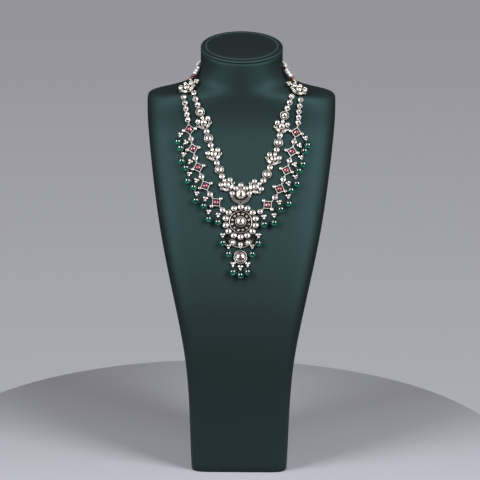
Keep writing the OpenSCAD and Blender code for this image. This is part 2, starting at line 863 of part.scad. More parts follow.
// Level rings closer together where the front turns, and a sloping ring at the neck top
ring_points = 56;
torso_rings = 34;
shoulder_rings = 22;
ring_bias = 1.4;
lean_from = 0.8;
function ring_levels() = concat(
    [for (i = [0:torso_rings - 1]) torso_h * (1 - pow(1 - i / torso_rings, ring_bias))],
    [for (i = [0:shoulder_rings]) torso_h + shoulder_h * i / shoulder_rings],
    [neck_top_z]
);

function ring_at(z) =
    let (
        s = section_at(z),
        lean_z = torso_h + shoulder_h * lean_from,
        lean = max(0, (z - lean_z) / (neck_top_z - lean_z)) * tan(top_tilt)
    )
    [for (i = [0:ring_points - 1])
        let (
            a = 360 * i / ring_points,
            y = middle_y(s) + half_depth(s) * power(sin(a), 2 / s[SQUARE])
        )
        [s[HALF] * power(cos(a), 2 / s[SQUARE]), y, z + lean * (y - neck_y)]];

function rings_of_bust() = [for (z = ring_levels()) ring_at(z)];

// Closed solid through a stack of rings
module loft(rings) {
    n = len(rings[0]);
    top = len(rings) - 1;
    polyhedron(
        points = [for (r = rings) for (p = r) p],
        faces = concat(
            [[for (i = [0:n - 1]) i]],
            [[for (i = [n - 1:-1:0]) top * n + i]],
            [for (k = [0:top - 1]) for (i = [0:n - 1])
                let (j = (i + 1) % n)
                [k * n + j, k * n + i, (k + 1) * n + i]],
            [for (k = [0:top - 1]) for (i = [0:n - 1])
                let (j = (i + 1) % n)
                [k * n + j, (k + 1) * n + i, (k + 1) * n + j]]
        )
    );
}

// Padded disc with a rolled edge, on the sloping neck top
roll_steps = 5;
crown_steps = 4;
module bust_top_pad() {
    roll_r = pad_t / 2;
    flat_r = neck_r - roll_r;
    color("darkslategray")
        translate([0, neck_y, neck_top_z])
            rotate([top_tilt, 0, 0])
                translate([0, 0, piece_gap])
                    rotate_extrude($fn = 96)
                        polygon(concat(
                            [[0, pad_t + pad_crown], [0, 0]],
                            [for (i = [0:roll_steps])
                                let (a = -90 + 180 * i / roll_steps)
                                [flat_r + roll_r * cos(a), roll_r * (1 + sin(a))]],
                            [for (i = [1:crown_steps - 1])
                                let (t = i / crown_steps)
                                [flat_r * (1 - t), pad_t + pad_crown * (1 - pow(1 - t, 2))]]
                        ));
}

module end_plate(side) {
    color("silver") on_plate(side) plate_setting(WAY[side]);
}

module flower(side, i) {
    s = seats_of("flower", inner_links, inner_seats[side])[i];
    color("silver") seat(s[POINT], -s[DIRECTION]) flower_setting();
}

module ring_link(side, i) {
    s = seats_of("ring", inner_links, inner_seats[side])[i];
    color("silver") seat(s[POINT], -s[DIRECTION]) ring_setting();
}

module square_link(side, i) {
    s = square_seats[side][i];
    color("silver") seat(s[POINT], -s[DIRECTION]) square_setting();
}

module centre_piece() {
    color("silver") seat(front_point(0, centre_piece_z), UP) centre_setting();
}

module medallion() {
    color("silver") seat(front_point(0, medallion_z), UP) medallion_setting();
}

module fan_piece() {
    color("silver") seat(front_point(0, fan_z), UP) fan_setting();
}

module round_drop() {
    color("silver") seat(front_point(0, round_drop_z), UP) drop_setting();
}

module inner_collets(side) {
    color("silver")
        for (s = seats_of("collet", inner_links, inner_seats[side]))
            seat(s[POINT], -s[DIRECTION]) small_collet(inner_collet_d);
}

module outer_collets(side) {
    color("silver")
        for (s = seats_of("collet", outer_links, outer_seats[side]))
            seat(s[POINT], -s[DIRECTION]) small_collet(outer_collet_d);
}

module inner_stones(side) {
    color("white") {
        on_plate(side) {
            scale(plate_scale) flower_stones();
            stones_in(concat(rosette_cups(WAY[side]), eye_cups(WAY[side])));
        }
        for (s = seats_of("flower", inner_links, inner_seats[side]))
            seat(s[POINT], -s[DIRECTION]) flower_stones();
        for (s = seats_of("ring", inner_links, inner_seats[side]))
            seat(s[POINT], -s[DIRECTION]) stones_in(ring_cups);
        for (s = seats_of("collet", inner_links, inner_seats[side]))
            seat(s[POINT], -s[DIRECTION]) stones_in([[0, 0, inner_collet_d, low_h]]);
    }
}

module outer_stones(side) {
    color("white") {
        for (s = square_seats[side])
            seat(s[POINT], -s[DIRECTION]) stones_in(corner_cups);
        for (s = seats_of("collet", outer_links, outer_seats[side]))
            seat(s[POINT], -s[DIRECTION]) stones_in([[0, 0, outer_collet_d, low_h]]);
    }
}

module rubies(side) {
    color("crimson")
        for (s = square_seats[side])
            seat(s[POINT], -s[DIRECTION]) stones_in(ruby_cups);
}

module centre_stones() {
    color("white") seat(front_point(0, centre_piece_z), UP) centre_piece_stones();
}

module medallion_stones() {
    color("white") seat(front_point(0, medallion_z), UP) stones_in(medallion_cups);
}

module pendant_stones() {
    color("white") {
        seat(front_point(0, fan_z), UP) fan_stones();
        seat(front_point(0, round_drop_z), UP) stones_in(drop_cups);
    }
}

module drop_caps(seats) {
    color("silver") caps(seats);
}

module emerald_drops(seats) {
    color("seagreen") emeralds(seats);
}

module nape_pearls(side) {
    marks = nape_marks(WAY[side]);
    color("ivory") {
        bead_run(bead_centres(WAY[side], marks, pearls_from, front_pearls, pearl_d), pearl_d);
        bead_run(bead_centres(WAY[side], marks, rest_from, rest_count(marks), rest_step(marks)), pearl_d);
    }
}

// The left string starts with two dark red beads, and the right one with a gold and a red bead
module nape_red_beads() {
    color("darkred")
        for (side = [0, 1]) {
            marks = nape_marks(WAY[side]);
            first = nape_from + (side == 0 ? 0 : accent_d);
            bead_run(bead_centres(WAY[side], marks, first, side == 0 ? 2 : 1, accent_d), accent_d);
            bead_run(bead_centres(WAY[side], marks, red_from, 1, accent_d), accent_d);
        }
}

module nape_gold_bead() {
    gold_d = accent_d - piece_gap;
    color("goldenrod") bead_run(bead_centres(WAY[1], nape_marks(WAY[1]), nape_from, 1, gold_d), gold_d);
}

// Plain barrel behind the neck, between the last pearls
clasp_d = 0.8 * pearl_d;
module clasp() {
    color("silver")
        translate(nape_point(1, nape_spans))
            rotate([0, 90, 0])
                cylinder(d = clasp_d, h = clasp_l, center = true);
}

bust_body();
bust_top_pad();
centre_piece();
medallion();
fan_piece();
round_drop();
centre_stones();
medallion_stones();
pendant_stones();
drop_caps(middle_drops);  // drop_caps_middle
emerald_drops(middle_drops);  // emerald_drops_middle
nape_red_beads();
nape_gold_bead();
clasp();
for (side = [0, 1]) {
    name = SIDES[side];
    end_plate(side);
    inner_collets(side);
    outer_collets(side);
    inner_stones(side);
    outer_stones(side);
    rubies(side);
    drop_caps(side_drops[side]);
    emerald_drops(side_drops[side]);
    nape_pearls(side);
    for (i = [0:FLOWERS - 1]) {
        flower(side, i);
        ring_link(side, i);
    }
    for (i = [0:SQUARES - 1])
        square_link(side, i);
}
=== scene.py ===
"""Kundan necklace of two stone-set strands on a tall leatherette neck bust.

Patterns and tables are in millimetres. The pieces are in metres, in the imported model's frame.
"""
import math

import bmesh
import bpy
import numpy as np
from mathutils import Matrix, Vector


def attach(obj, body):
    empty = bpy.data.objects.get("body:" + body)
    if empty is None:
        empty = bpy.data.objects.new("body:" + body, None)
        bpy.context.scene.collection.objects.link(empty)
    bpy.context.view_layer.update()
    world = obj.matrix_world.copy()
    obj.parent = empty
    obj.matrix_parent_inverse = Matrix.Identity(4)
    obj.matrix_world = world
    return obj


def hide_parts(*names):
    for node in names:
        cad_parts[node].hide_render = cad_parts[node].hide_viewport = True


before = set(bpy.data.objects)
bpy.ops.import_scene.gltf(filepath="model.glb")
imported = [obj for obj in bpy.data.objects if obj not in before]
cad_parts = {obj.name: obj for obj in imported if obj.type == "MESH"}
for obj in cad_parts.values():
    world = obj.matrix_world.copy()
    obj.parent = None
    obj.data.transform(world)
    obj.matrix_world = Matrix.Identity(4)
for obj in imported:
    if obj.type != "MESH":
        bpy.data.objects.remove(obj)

bl_info = {
    "name": "Kundan Necklace",
    "version": (1, 0, 0),
    "blender": (4, 5, 0),
    "location": "View3D > Sidebar > Necklace",
    "description": "Adds a kundan necklace on a neck bust, with its studio",
    "category": "Add Mesh",
}

MM = 0.001
SIDES = ("left", "right")
WAYS = (-1, 1)

# The bust's skin, in millimetres. The rows hold shares of the sizes above them
TORSO_H = 450
SHOULDER_H = 62
NECK_H = 11
BASE_W = 123
SHOULDER_W = 243
NECK_R = 53
BELLY_OUT = 104.5
BASE_IN = 65
TOP_TILT = math.radians(13.3)
PAD_T = 3.2
PAD_CROWN = 2.6
NECK_BASE_Z = TORSO_H + SHOULDER_H
NECK_TOP_Z = NECK_BASE_Z + NECK_H
# Columns: height, width from base to shoulders, front from neck to belly, back from neck to base, squareness
TORSO_ROWS = (
    (0, 0, 0.92, 1, 9),
    (0.031, 0.013, 0.935, 1, 9),
    (0.104, 0.03, 0.96, 0.985, 9),
    (0.2135, 0.063, 0.99, 0.955, 8),
    (0.313, 0.13, 1, 0.91, 7.3),
    (0.3828, 0.215, 0.985, 0.875, 7),
    (0.4624, 0.335, 0.94, 0.83, 7),
    (0.5371, 0.465, 0.86, 0.77, 6.5),
    (0.6167, 0.6, 0.74, 0.69, 6),
    (0.6914, 0.715, 0.595, 0.6, 5.5),
    (0.771, 0.815, 0.425, 0.49, 5),
    (0.8507, 0.9, 0.24, 0.385, 4.6),
    (0.8935, 0.94, 0.14, 0.32, 4.3),
    (0.9373, 0.975, 0.052, 0.26, 4),
    (0.9701, 0.995, 0.014, 0.215, 3.8),
    (1, 1, 0.002, 0.17, 3.5),
)
# Columns: height, width from neck to shoulders, back from neck to base, squareness
SHOULDER_ROWS = (
    (0.16, 1, 0.13, 3),
    (0.26, 0.975, 0.115, 2.6),
    (0.32, 0.86, 0.105, 2.35),
    (0.375, 0.63, 0.095, 2.1),
    (0.43, 0.45, 0.08, 1.95),
    (0.475, 0.33, 0.065, 1.85),
    (0.535, 0.215, 0.045, 1.82),
    (0.6, 0.125, 0.03, 1.88),
    (0.68, 0.055, 0.015, 1.95),
    (0.8, 0.01, 0, 2),
    (1, 0, 0, 2),
)
NECK_Y = (BELLY_OUT * TORSO_ROWS[0][2] + BASE_IN * TORSO_ROWS[0][3]) / 2

# Gaps and sizes of the settings, in millimetres
LIFT = 0.7
PIECE_GAP = 0.35
BACK_T = 1.2
POCKET = 1.1
STONE_FIT = 0.1
LOW_H = 2.6
HIGH_H = 3.6
INNER_COLLET_D = 7
OUTER_COLLET_D = 6.7
RING_D = 11.4
RING_CUP_D = 7.4
FLOWER_CUP_D = 7.6
PETAL_D = 6
PETAL_REACH = 7.5
PETAL_ANGLE = math.radians(62)
TOP_PETAL_D = 4.6
TOP_PETAL_REACH = 6.1
LEAF_R = 8.6
LEAF_W = 4
LEAF_L = 6.4
LEAF_RISE = 3
LEAF_TOP = -2
LEAF_TURN = math.radians(36)
CURL_D = 4.4
CURL_ANGLE = math.radians(104)
SQUARE_W = 9.9
SQUARE_BAR = 1.1
SQUARE_LUG = 2.2
RUBY_CUP_D = 6.6
RUBY_WALL = 0.35
CORNER_CUP_D = 4.2
PLATE_SCALE = 1.08
PLATE_LEAN = math.radians(14)
PLATE_TILT = math.radians(6)
PLATE_GAP = 3.4
PLATE_PLACES = ((68.5, 37.5), (72, 39))
PLATE_TOP = (0.3, 0.6, 0.6)
ROSETTE_REACH = 14.3
ROSETTE_CUP_D = 3
ROSETTE_ANGLE = math.radians(80)
STRING_EYE_ANGLE = math.radians(40)
STRING_EYE_REACH = 12.5
PEAR_R = 5.9
PEAR_L = 8.4
CENTRE_BACK_R = 9.4
CENTRE_CUP_D = 6.4
CRESCENT_R = 12.6
CRESCENT_W = 3.8
CRESCENT_RISE = 2
CRESCENT_TOP = -3
RIM_D = 29
RIM_H = 3.2
BOSS_RING_D = 13.6
BOSS_RING_H = 5
BOSS_FLOOR_H = 1.8
BOSS_D = 9.6
BOSS_H = 7.4
RAYS = 14
RAY_D = 7.2
SEEDS = 12
SEED_D = 4.2
RAY_REACH = (RIM_D + RAY_D) / 2 + 1.25
MEDALLION_R = RAY_REACH + RAY_D / 2
FAN_DOWN = MEDALLION_R + 5.5
FAN_R = 18.5
FAN_BOTTOM = 4.5
FAN_CUP_D = 5.2
FAN_CUP_PLACE = (9.6, 2.2)
KITE_R = 2.9
KITE_L = 1.95 * KITE_R
KITE_Y = -0.6
DROP_D = 16.8
DROP_CUP_D = 12.4
EYE_D = 2.6
DROP_DOWN = FAN_DOWN - KITE_Y + KITE_L + PIECE_GAP + (EYE_D + DROP_D) / 2
EMERALD_D = 9.3
EMERALD_L = 11
TIP_D = 3
LOBE_D = 3.2
LOBE_H = 2
LOBE_REACH = 2
CAP_BOTTOM = LOBE_REACH + LOBE_D / 2
CAP_TO_DROP = CAP_BOTTOM + PIECE_GAP + EMERALD_L / 2
PEARL_D = 5
ACCENT_D = 4.4
THREAD_D = 1
CLASP_L = 10

# Routes of the strands, from the end plates to the centre. Columns: distance from the centre plane, distance
# below the neck's foot
INNER_ROUTES = (
    ((60.3, 41), (57.5, 48), (52, 63), (44.5, 86), (39, 103), (31, 123.5), (24.5, 139), (17.8, 149.5)),
    ((63.3, 43.5), (61, 50.5), (54.8, 66), (49.4, 90), (45.5, 107.5), (37, 128.5), (29, 144), (19, 152)),
)
OUTER_ROUTES = (
    ((72.8, 45.5), (70.3, 58.5), (67.5, 75), (64, 95), (59, 116), (51, 138), (40, 159.5), (22.8, 179)),
    ((74.8, 47.5), (73, 61), (72, 77.5), (67.6, 97.5), (62, 119.5), (54.5, 141), (43.5, 163.5),
     (24.4, 180.5)),
)
INNER_LINKS = "collet collet collet ring flower collet ring collet flower collet ring collet flower".split()
OUTER_LINKS = ("collet " * 5 + "square collet " * 5).split()
# Drops beside the squares and the lower collets. Columns: outwards, downwards, swing in degrees
SQUARE_DROPS = ((11.6, 4.6, 12), (11.6, 4.6, 10), (11.6, 4.4, 8), (11.6, 4.8, 5), (12.2, 4, 0))
COLLET_DROPS = ((6.8, 2.6, 34), (6.8, 2.6, 27), (6.8, 2.4, 18), (6.8, 1.6, 11), (6.8, 1.6, 4))
FLANK_REACH = MEDALLION_R + 5.1
FLANK_ANGLE = math.radians(53)
TASSEL_REACH = DROP_D / 2 + CAP_BOTTOM + 2 * PIECE_GAP
TASSEL_ANGLES = (-47, 0, 47)
# Nape string, from the end plates to the clasp. Columns: angle from the front, depth below the neck's foot,
# gap that the leatherette falls away under the string
NAPE_STARTS = (
    ((68, 32.2, 5.2), (69.6, 29, 5.3), (71.2, 25, 4.8), (73, 20.5, 3.9), (75.2, 16, 2.2)),
    ((68.3, 34.2, 4.9), (70, 31.1, 5.5), (71.7, 27, 5.4), (73.3, 22.4, 4.6), (75.3, 16.7, 2.7)),
)
NAPE_REST = ((78.5, 12, 0.2), (95, 10.8, 0), (120, 9.6, 0), (150, 8.4, 0), (180, 8, 0))
NAPE_ROUTES = [start + NAPE_REST for start in NAPE_STARTS]
NAPE_SPANS = len(NAPE_ROUTES[0]) - 1
MARKS_PER_SPAN = 8
NUDGE = 0.05
PROBE = 0.2
WALK_STEP = 0.5
UP = Vector((0, 0, 1))


def mix(a, b, t):
    return a + (b - a) * t


def shares(count):
    """Even steps from 0 to 1."""
    return [i / count for i in range(count + 1)]


def polar(reach, angle):
    """Place at an angle from the Y axis."""
    return reach * math.sin(angle), reach * math.cos(angle)


def make_sections():
    """Rows of height, half width, front, back and squareness, measured from the middle of the base."""
    rows = [(r[0] * TORSO_H, mix(BASE_W, SHOULDER_W, r[1]) / 2, NECK_R + BELLY_OUT * r[2] - NECK_Y,
             NECK_R - BASE_IN * r[3] + NECK_Y, r[4]) for r in TORSO_ROWS]
    rows += [(TORSO_H + r[0] * SHOULDER_H, mix(2 * NECK_R, SHOULDER_W, r[1]) / 2, NECK_R - NECK_Y,
              NECK_R - BASE_IN * r[2] + NECK_Y, r[3]) for r in SHOULDER_ROWS]
    rows.append((NECK_TOP_Z + NECK_R, NECK_R, NECK_R - NECK_Y, NECK_R + NECK_Y, 2))
    return np.array(rows, float)


SECTIONS = make_sections()
LAST_SECTION = len(SECTIONS) - 1


def slope_at(i):
    """Rate of change of every column at one section."""
    a, b = SECTIONS[max(i - 1, 0)], SECTIONS[min(i + 1, LAST_SECTION)]
    return (b - a) / (b[0] - a[0])


def section_at(z):
    """The section at any height, on a smooth curve through the rows."""
    i = 0
    while i < LAST_SECTION - 1 and SECTIONS[i + 1][0] < z:
        i += 1
    a, b = SECTIONS[i], SECTIONS[i + 1]
    h = b[0] - a[0]
    t = (z - a[0]) / h
    s = t * t * (3 - 2 * t)
    return a * (1 - s) + b * s + slope_at(i) * h * t * (1 - t) ** 2 - slope_at(i + 1) * h * t * t * (1 - t)


def skin(p):
    """Below zero inside the bust, and zero on its skin."""
    _, half, front, back, square = section_at(p[2])
    return abs(p[0] / half) ** square + abs((p[1] - (back - front) / 2) / ((back + front) / 2)) ** square - 1


def front_point(x, z):
    """Point on the front of the bust."""
    _, half, front, back, square = section_at(z)
    across = min(abs(x / half), 1)
    return Vector((x, (back - front) / 2 - (back + front) / 2 * (1 - across ** square) ** (1 / square), z))


def normal_at(p):
    """Outward direction of the skin at a point."""
    steps = [Vector((PROBE, 0, 0)), Vector((0, PROBE, 0)), Vector((0, 0, PROBE))]
    return Vector([skin(p + a) - skin(p - a) for a in steps]).normalized()


def in_skin(v, n):
    """Direction in the skin that comes nearest to v."""
    return (v - v.dot(n) * n).normalized()


def centre_z(z, down):
    """Height reached by walking a distance down the centre line."""
    while down > 0:
        run = (front_point(0, z) - front_point(0, z - WALK_STEP)).length
        z -= WALK_STEP * min(WALK_STEP, down) / run
        down -= WALK_STEP
    return z


def on_curve(points, u):
    """Smooth curve through the points of a route."""
    last = len(points) - 1
    i = min(int(u), last - 1)
    t = u - i
    b, c = np.array(points[i], float), np.array(points[i + 1], float)
    a = np.array(points[i - 1], float) if i > 0 else 2 * b - c
    d = np.array(points[i + 2], float) if i + 2 <= last else 2 * c - b
    return (2 * b + (c - a) * t + (2 * a - 5 * b + 4 * c - d) * t * t + (3 * b - a - 3 * c + d) * t ** 3) / 2


def lengths_along(place, spans):
    """Length along a route against the place on it."""
    places = [i / MARKS_PER_SPAN for i in range(spans * MARKS_PER_SPAN + 1)]
    points = [place(u) for u in places]
    runs = [0.0]
    for a, b in zip(points, points[1:]):
        runs.append(runs[-1] + (b - a).length)
    return runs, places


def strand_seats(route, way, lengths):
    """Place and direction of each link of a strand, spread evenly over its route."""
    def place(u):
        q = on_curve(route, u)
        return front_point(way * q[0], NECK_BASE_Z - q[1])

    last_u = len(route) - 1
    runs, places = lengths_along(place, last_u)
    starts = [0.0]
    for a, b in zip(lengths, lengths[1:]):
        starts.append(starts[-1] + (a + b) / 2)
    spare = (runs[-1] - starts[-1]) / (len(lengths) - 1)
    seats = []
    for i, start in enumerate(starts):
        u = float(np.interp(min(start + spare * i, runs[-1]), runs, places))
        p = place(u)
        ahead, behind = place(min(u + NUDGE, last_u)), place(max(u - NUDGE, 0))
        seats.append((p, in_skin(ahead - behind, normal_at(p))))
    return seats


LINK_LENGTHS = {"ring": RING_D, "flower": 2 * LEAF_R, "square": SQUARE_W * math.sqrt(2) + 2 * SQUARE_LUG}
INNER_LENGTHS = [LINK_LENGTHS.get(kind, INNER_COLLET_D) for kind in INNER_LINKS]
OUTER_LENGTHS = [LINK_LENGTHS.get(kind, OUTER_COLLET_D) for kind in OUTER_LINKS]
INNER_SEATS = [strand_seats(INNER_ROUTES[k], WAYS[k], INNER_LENGTHS) for k in (0, 1)]
OUTER_SEATS = [strand_seats(OUTER_ROUTES[k], WAYS[k], OUTER_LENGTHS) for k in (0, 1)]


def seats_of(kind, kinds, seats):
    """The seats of one kind of link."""
    return [seat for k, seat in zip(kinds, seats) if k == kind]


def axes_matrix(x, y, z, origin):
    """Matrix with three axes and an origin."""
    return Matrix((*[(x[i], y[i], z[i], origin[i]) for i in range(3)], (0, 0, 0, 1)))


def seat_matrix(point, top, gap=LIFT):
    """Matrix that puts a piece with its back over a point of the skin and its top towards a direction."""
    n = normal_at(point)
    y = in_skin(Vector(top), n)
    return axes_matrix(y.cross(n), y, n, point + gap * n)


def link_matrix(seat):
    """Matrix of a link on its seat, with its top towards the end plate."""
    return seat_matrix(seat[0], -seat[1])


def plate_matrix(k):
    """Matrix of an end plate's flower, before its scale."""
    way = WAYS[k]
    point = front_point(way * PLATE_PLACES[k][0], NECK_BASE_Z - PLATE_PLACES[k][1])
    lean = Matrix.Rotation(way * PLATE_TILT, 4, "Y") @ Matrix.Rotation(PLATE_LEAN, 4, "X")
    return seat_matrix(point, (way * PLATE_TOP[0], PLATE_TOP[1], PLATE_TOP[2]), PLATE_GAP) @ lean


def hanging(point, angle):
    """Direction down the skin at a point, swung sideways by an angle in degrees."""
    n = normal_at(point)
    down = in_skin(-UP, n)
    side = n.cross(down)
    return (down * math.cos(math.radians(angle)) + side * math.sin(math.radians(angle))).normalized()


def drop_seat(link, way, row):
    """Place and hanging direction of a drop's cap beside a link."""
    n = normal_at(link[0])
    across = link[1].cross(n)
    out = across * math.copysign(1, across[0]) * way
    cap = link[0] + out * row[0] + in_skin(-UP, n) * row[1]
    point = front_point(cap[0], cap[2])
    return point, hanging(point, way * row[2])


CENTRE_DOWN = 160.6
CENTRE_PIECE_Z = NECK_BASE_Z - CENTRE_DOWN
MEDALLION_Z = centre_z(CENTRE_PIECE_Z, CRESCENT_R + PIECE_GAP + MEDALLION_R)
FAN_Z = centre_z(MEDALLION_Z, FAN_DOWN)
ROUND_DROP_Z = centre_z(MEDALLION_Z, DROP_DOWN)
SQUARE_SEATS = [seats_of("square", OUTER_LINKS, seats) for seats in OUTER_SEATS]
# The collets that follow the squares
TAIL_COLLET_SEATS = [seats[-9::2] for seats in OUTER_SEATS]
SIDE_DROPS = [
    [drop_seat(s, WAYS[k], row) for s, row in zip(SQUARE_SEATS[k], SQUARE_DROPS)]
    + [drop_seat(s, WAYS[k], row) for s, row in zip(TAIL_COLLET_SEATS[k], COLLET_DROPS)]
    for k in (0, 1)
]


def pendant_cap(x, down):
    """Place and hanging direction of a cap below the medallion's middle."""
    point = front_point(x, centre_z(MEDALLION_Z, down))
    return point, hanging(point, 0)


FLANK_CAPS = (polar(FLANK_REACH, FLANK_ANGLE), (FAN_R - 3.5, FAN_DOWN + 2.4))
TASSEL_CAPS = [polar(TASSEL_REACH, math.radians(a)) for a in TASSEL_ANGLES]
MIDDLE_DROPS = [pendant_cap(way * x, down) for way in WAYS for x, down in FLANK_CAPS]
MIDDLE_DROPS += [pendant_cap(x, DROP_DOWN + down) for x, down in TASSEL_CAPS]


def nape_point(k, u):
    """Point of a bead's centre on the half loop round the neck."""
    way = WAYS[k]
    angle, depth, off = on_curve(NAPE_ROUTES[k], u)
    z = NECK_BASE_Z - depth
    _, half, front, back, square = section_at(z)
    x, y = math.sin(math.radians(way * angle)), -math.cos(math.radians(way * angle))
    r = (abs(x / half) ** square + abs(y / ((back + front) / 2)) ** square) ** (-1 / square)
    p = Vector((r * x, r * y + (back - front) / 2, z))
    return p + (PEARL_D / 2 + PIECE_GAP + float(off)) * normal_at(p)


NAPE_FROM = ROSETTE_CUP_D / 2 + PIECE_GAP
FRONT_PEARLS = 3
PEARLS_FROM = NAPE_FROM + 2 * ACCENT_D + PIECE_GAP
RED_FROM = PEARLS_FROM + FRONT_PEARLS * PEARL_D + PIECE_GAP
REST_FROM = RED_FROM + ACCENT_D + PIECE_GAP
NAPE_RUNS = [lengths_along(lambda u, k=k: nape_point(k, u), NAPE_SPANS) for k in (0, 1)]


def bead_centres(k, start, count, d):
    """Centres of a run of beads of a diameter, from a length along the nape string."""
    runs, places = NAPE_RUNS[k]
    return [nape_point(k, float(np.interp(start + d * (i + 0.5), runs, places))) for i in range(count)]


def length_value(name, words, millimetres):
    return bpy.props.FloatProperty(name=name, description=words, default=millimetres * MM, unit="LENGTH")


def angle_value(name, words, degrees):
    return bpy.props.FloatProperty(
        name=name, description=words, default=math.radians(degrees), subtype="ANGLE")


def plain_value(name, words, default):
    return bpy.props.FloatProperty(name=name, description=words, default=default)


def colour(name, words, default):
    return bpy.props.FloatVectorProperty(
        name=name, description=words, default=default, size=3, min=0, max=1, subtype="COLOR")


class NecklaceSizes(bpy.types.PropertyGroup):
    """Sizes of the details that are modelled here."""
    wall: length_value("Bezel wall", "Wall of a bezel", 0.6)
    rim: length_value("Thin rim", "Wall of the thin outer rims", 0.7)
    upper: angle_value("Upper facets", "Slope of the facets round a stone's table", 21)
    lower: angle_value("Lower facets", "Slope of the facets at a stone's edge", 44)
    waist: plain_value("Facet break", "Radius where the facets meet, against the stone's own", 0.82)
    table: plain_value("Stone table", "Radius of a stone's flat top against its own", 0.34)
    wire: length_value("Wire", "Radius of the wire of the jump rings", 0.24)
    jump: length_value("Jump ring", "Radius of the jump rings", 1.1)
    piping: length_value("Rolled edge", "Radius of the rolled edge of the neck", 1.2)
    grain: length_value("Leather grain", "Size of the leatherette's grain", 0.9)


class NecklaceColours(bpy.types.PropertyGroup):
    """Colours of the finishes."""
    leather: colour("Leatherette", "Dark green leatherette", (0.009, 0.006, 0.005))
    # Painted highlight: paler leatherette where light would catch the welt and the rims
    painted_highlight: colour("Painted leatherette highlight", "Paler leatherette along the welts", (0.05, 0.085, 0.095))
    silver: colour("Silver", "Polished silver of the rims", (0.9, 0.87, 0.81))
    oxide: colour("Oxide", "Blackened silver of the recesses", (0.02, 0.014, 0.012))
    clear: colour("Clear stone", "Foiled clear stone", (0.97, 0.9, 0.88))
    # The dark end of a clear stone's colour: its crinkled foil, and its painted shade
    foil: colour("Foil", "Shaded foil behind a clear stone", (0.2, 0.14, 0.14))
    ruby: colour("Ruby", "Foiled ruby", (0.85, 0.2, 0.32))
    # The dark end of a ruby's colour: its crinkled foil, and its painted shade
    ruby_deep: colour("Ruby depth", "Shaded foil behind a ruby", (0.2, 0.012, 0.04))
    emerald: colour("Emerald", "Body of an emerald drop", (0.0, 0.02, 0.014))
    # Painted glow of the emeralds: refracted light painted into their colour
    glow: colour("Emerald glow", "Light that gathers in the round end of an emerald", (0.0, 0.58, 0.4))
    pearl: colour("Pearl", "Pearl of the nape string", (0.78, 0.75, 0.72))
    red: colour("Red bead", "Dark red bead", (0.2, 0.008, 0.03))
    gold: colour("Gold bead", "Gold bead", (0.62, 0.36, 0.1))
    silk: colour("Silk", "Silk thread", (0.55, 0.5, 0.45))
    floor: colour("Floor", "Pale floor", (0.43, 0.43, 0.48))
    wall_high: colour("Upper wall", "Grey of the wall at the top of the view", (0.27, 0.27, 0.295))
    wall_low: colour("Lower wall", "Grey of the wall at the floor", (0.41, 0.41, 0.45))


class NecklaceStudio(bpy.types.PropertyGroup):
    """Camera and lights."""
    distance: length_value("Camera distance", "From the camera to the necklace", 2600)
    depression: angle_value("Camera angle", "How far the camera looks down", 14)
    roll: angle_value("Camera roll", "How far the top leans right", 0.38)
    lens: plain_value("Lens", "Focal length in millimetres on a 36 mm sensor", 156)
    softbox: plain_value("Softbox", "Power of each tall softbox, in watts", 30)
    ceiling: plain_value("Ceiling", "Brightness of the surroundings overhead", 0.06)
    front: plain_value("Room in front", "Brightness of the surroundings in front", 0.03)
    back: plain_value("Room behind", "Brightness of the surroundings behind", 0.05)


class Tree:
    """A node tree, with short ways to add the nodes that the finishes share."""

    def __init__(self, tree):
        self.nodes, self.links = tree.nodes, tree.links

    def feed(self, node, **inputs):
        """Links each input that is given another node's output, and sets the others."""
        for name, value in inputs.items():
            socket = node.inputs[name.replace("_", " ")]
            if isinstance(value, bpy.types.NodeSocket):
                self.links.new(value, socket)
            else:
                socket.default_value = value
        return node

    def add(self, kind, settings=(), **inputs):
        """A new node, with its settings made before its inputs are fed."""
        node = self.nodes.new("ShaderNode" + kind)
        for name, value in dict(settings).items():
            setattr(node, name, value)
        return self.feed(node, **inputs)

    def mix_colour(self, factor, low, high):
        """A colour between two colours, by a mask."""
        mixed = self.add("Mix", {"data_type": "RGBA"}, Factor=factor, A=(*low, 1), B=(*high, 1))
        return mixed.outputs["Result"]

    def spread(self, value, low, high, from_low=0.0, from_high=1.0):
        """A value moved from one range to another."""
        moved = self.add("MapRange", Value=value, From_Min=from_low, From_Max=from_high, To_Min=low,
                         To_Max=high)
        return moved.outputs["Result"]

    def combine(self, operation, a, b):
        """One value from two, kept between 0 and 1."""
        node = self.add("Math", {"operation": operation, "use_clamp": True})
        for value, socket in zip((a, b), node.inputs):
            self.links.new(value, socket)
        return node.outputs[0]

    def own_place(self):
        """The piece's own coordinates."""
        return self.add("TexCoord").outputs["Object"]

    def noise(self, scale, detail=2.0):
        return self.add("TexNoise", Vector=self.own_place(), Scale=scale, Detail=detail).outputs["Fac"]

    def mask(self, name):
        """An attribute that is painted on the piece."""
        return self.add("Attribute", {"attribute_name": name}).outputs["Fac"]

    def bump(self, height, distance, strength=1.0):
        return self.add("Bump", Height=height, Distance=distance, Strength=strength).outputs["Normal"]


FINISHES = {}


class Finish(Tree):
    """A Principled material, with its constants on the shader's own sockets."""

    def __init__(self, name, base, roughness, metallic=0.0, **inputs):
        material = FINISHES[name] = bpy.data.materials.new(name)
        material.use_nodes = True
        material.diffuse_color = (*base, 1)
        super().__init__(material.node_tree)
        self.dress(Base_Color=(*base, 1), Roughness=roughness, Metallic=metallic, **inputs)

    def dress(self, **inputs):
        self.feed(self.nodes["Principled BSDF"], **inputs)


def foil_group():
    """Crinkled foil behind a stone: a mask that changes from cell to cell."""
    group = bpy.data.node_groups.new("crinkled_foil", "ShaderNodeTree")
    group.interface.new_socket("Cell", in_out="INPUT", socket_type="NodeSocketFloat").default_value = 900
    group.interface.new_socket("Mask", in_out="OUTPUT", socket_type="NodeSocketFloat")
    tree = Tree(group)
    enter, leave = tree.nodes.new("NodeGroupInput"), tree.nodes.new("NodeGroupOutput")
    cells = tree.add("TexVoronoi", Vector=tree.own_place(), Scale=enter.outputs["Cell"])
    split = tree.add("SeparateColor", Color=cells.outputs["Color"])
    tree.feed(leave, Mask=split.outputs["Red"])
    return group


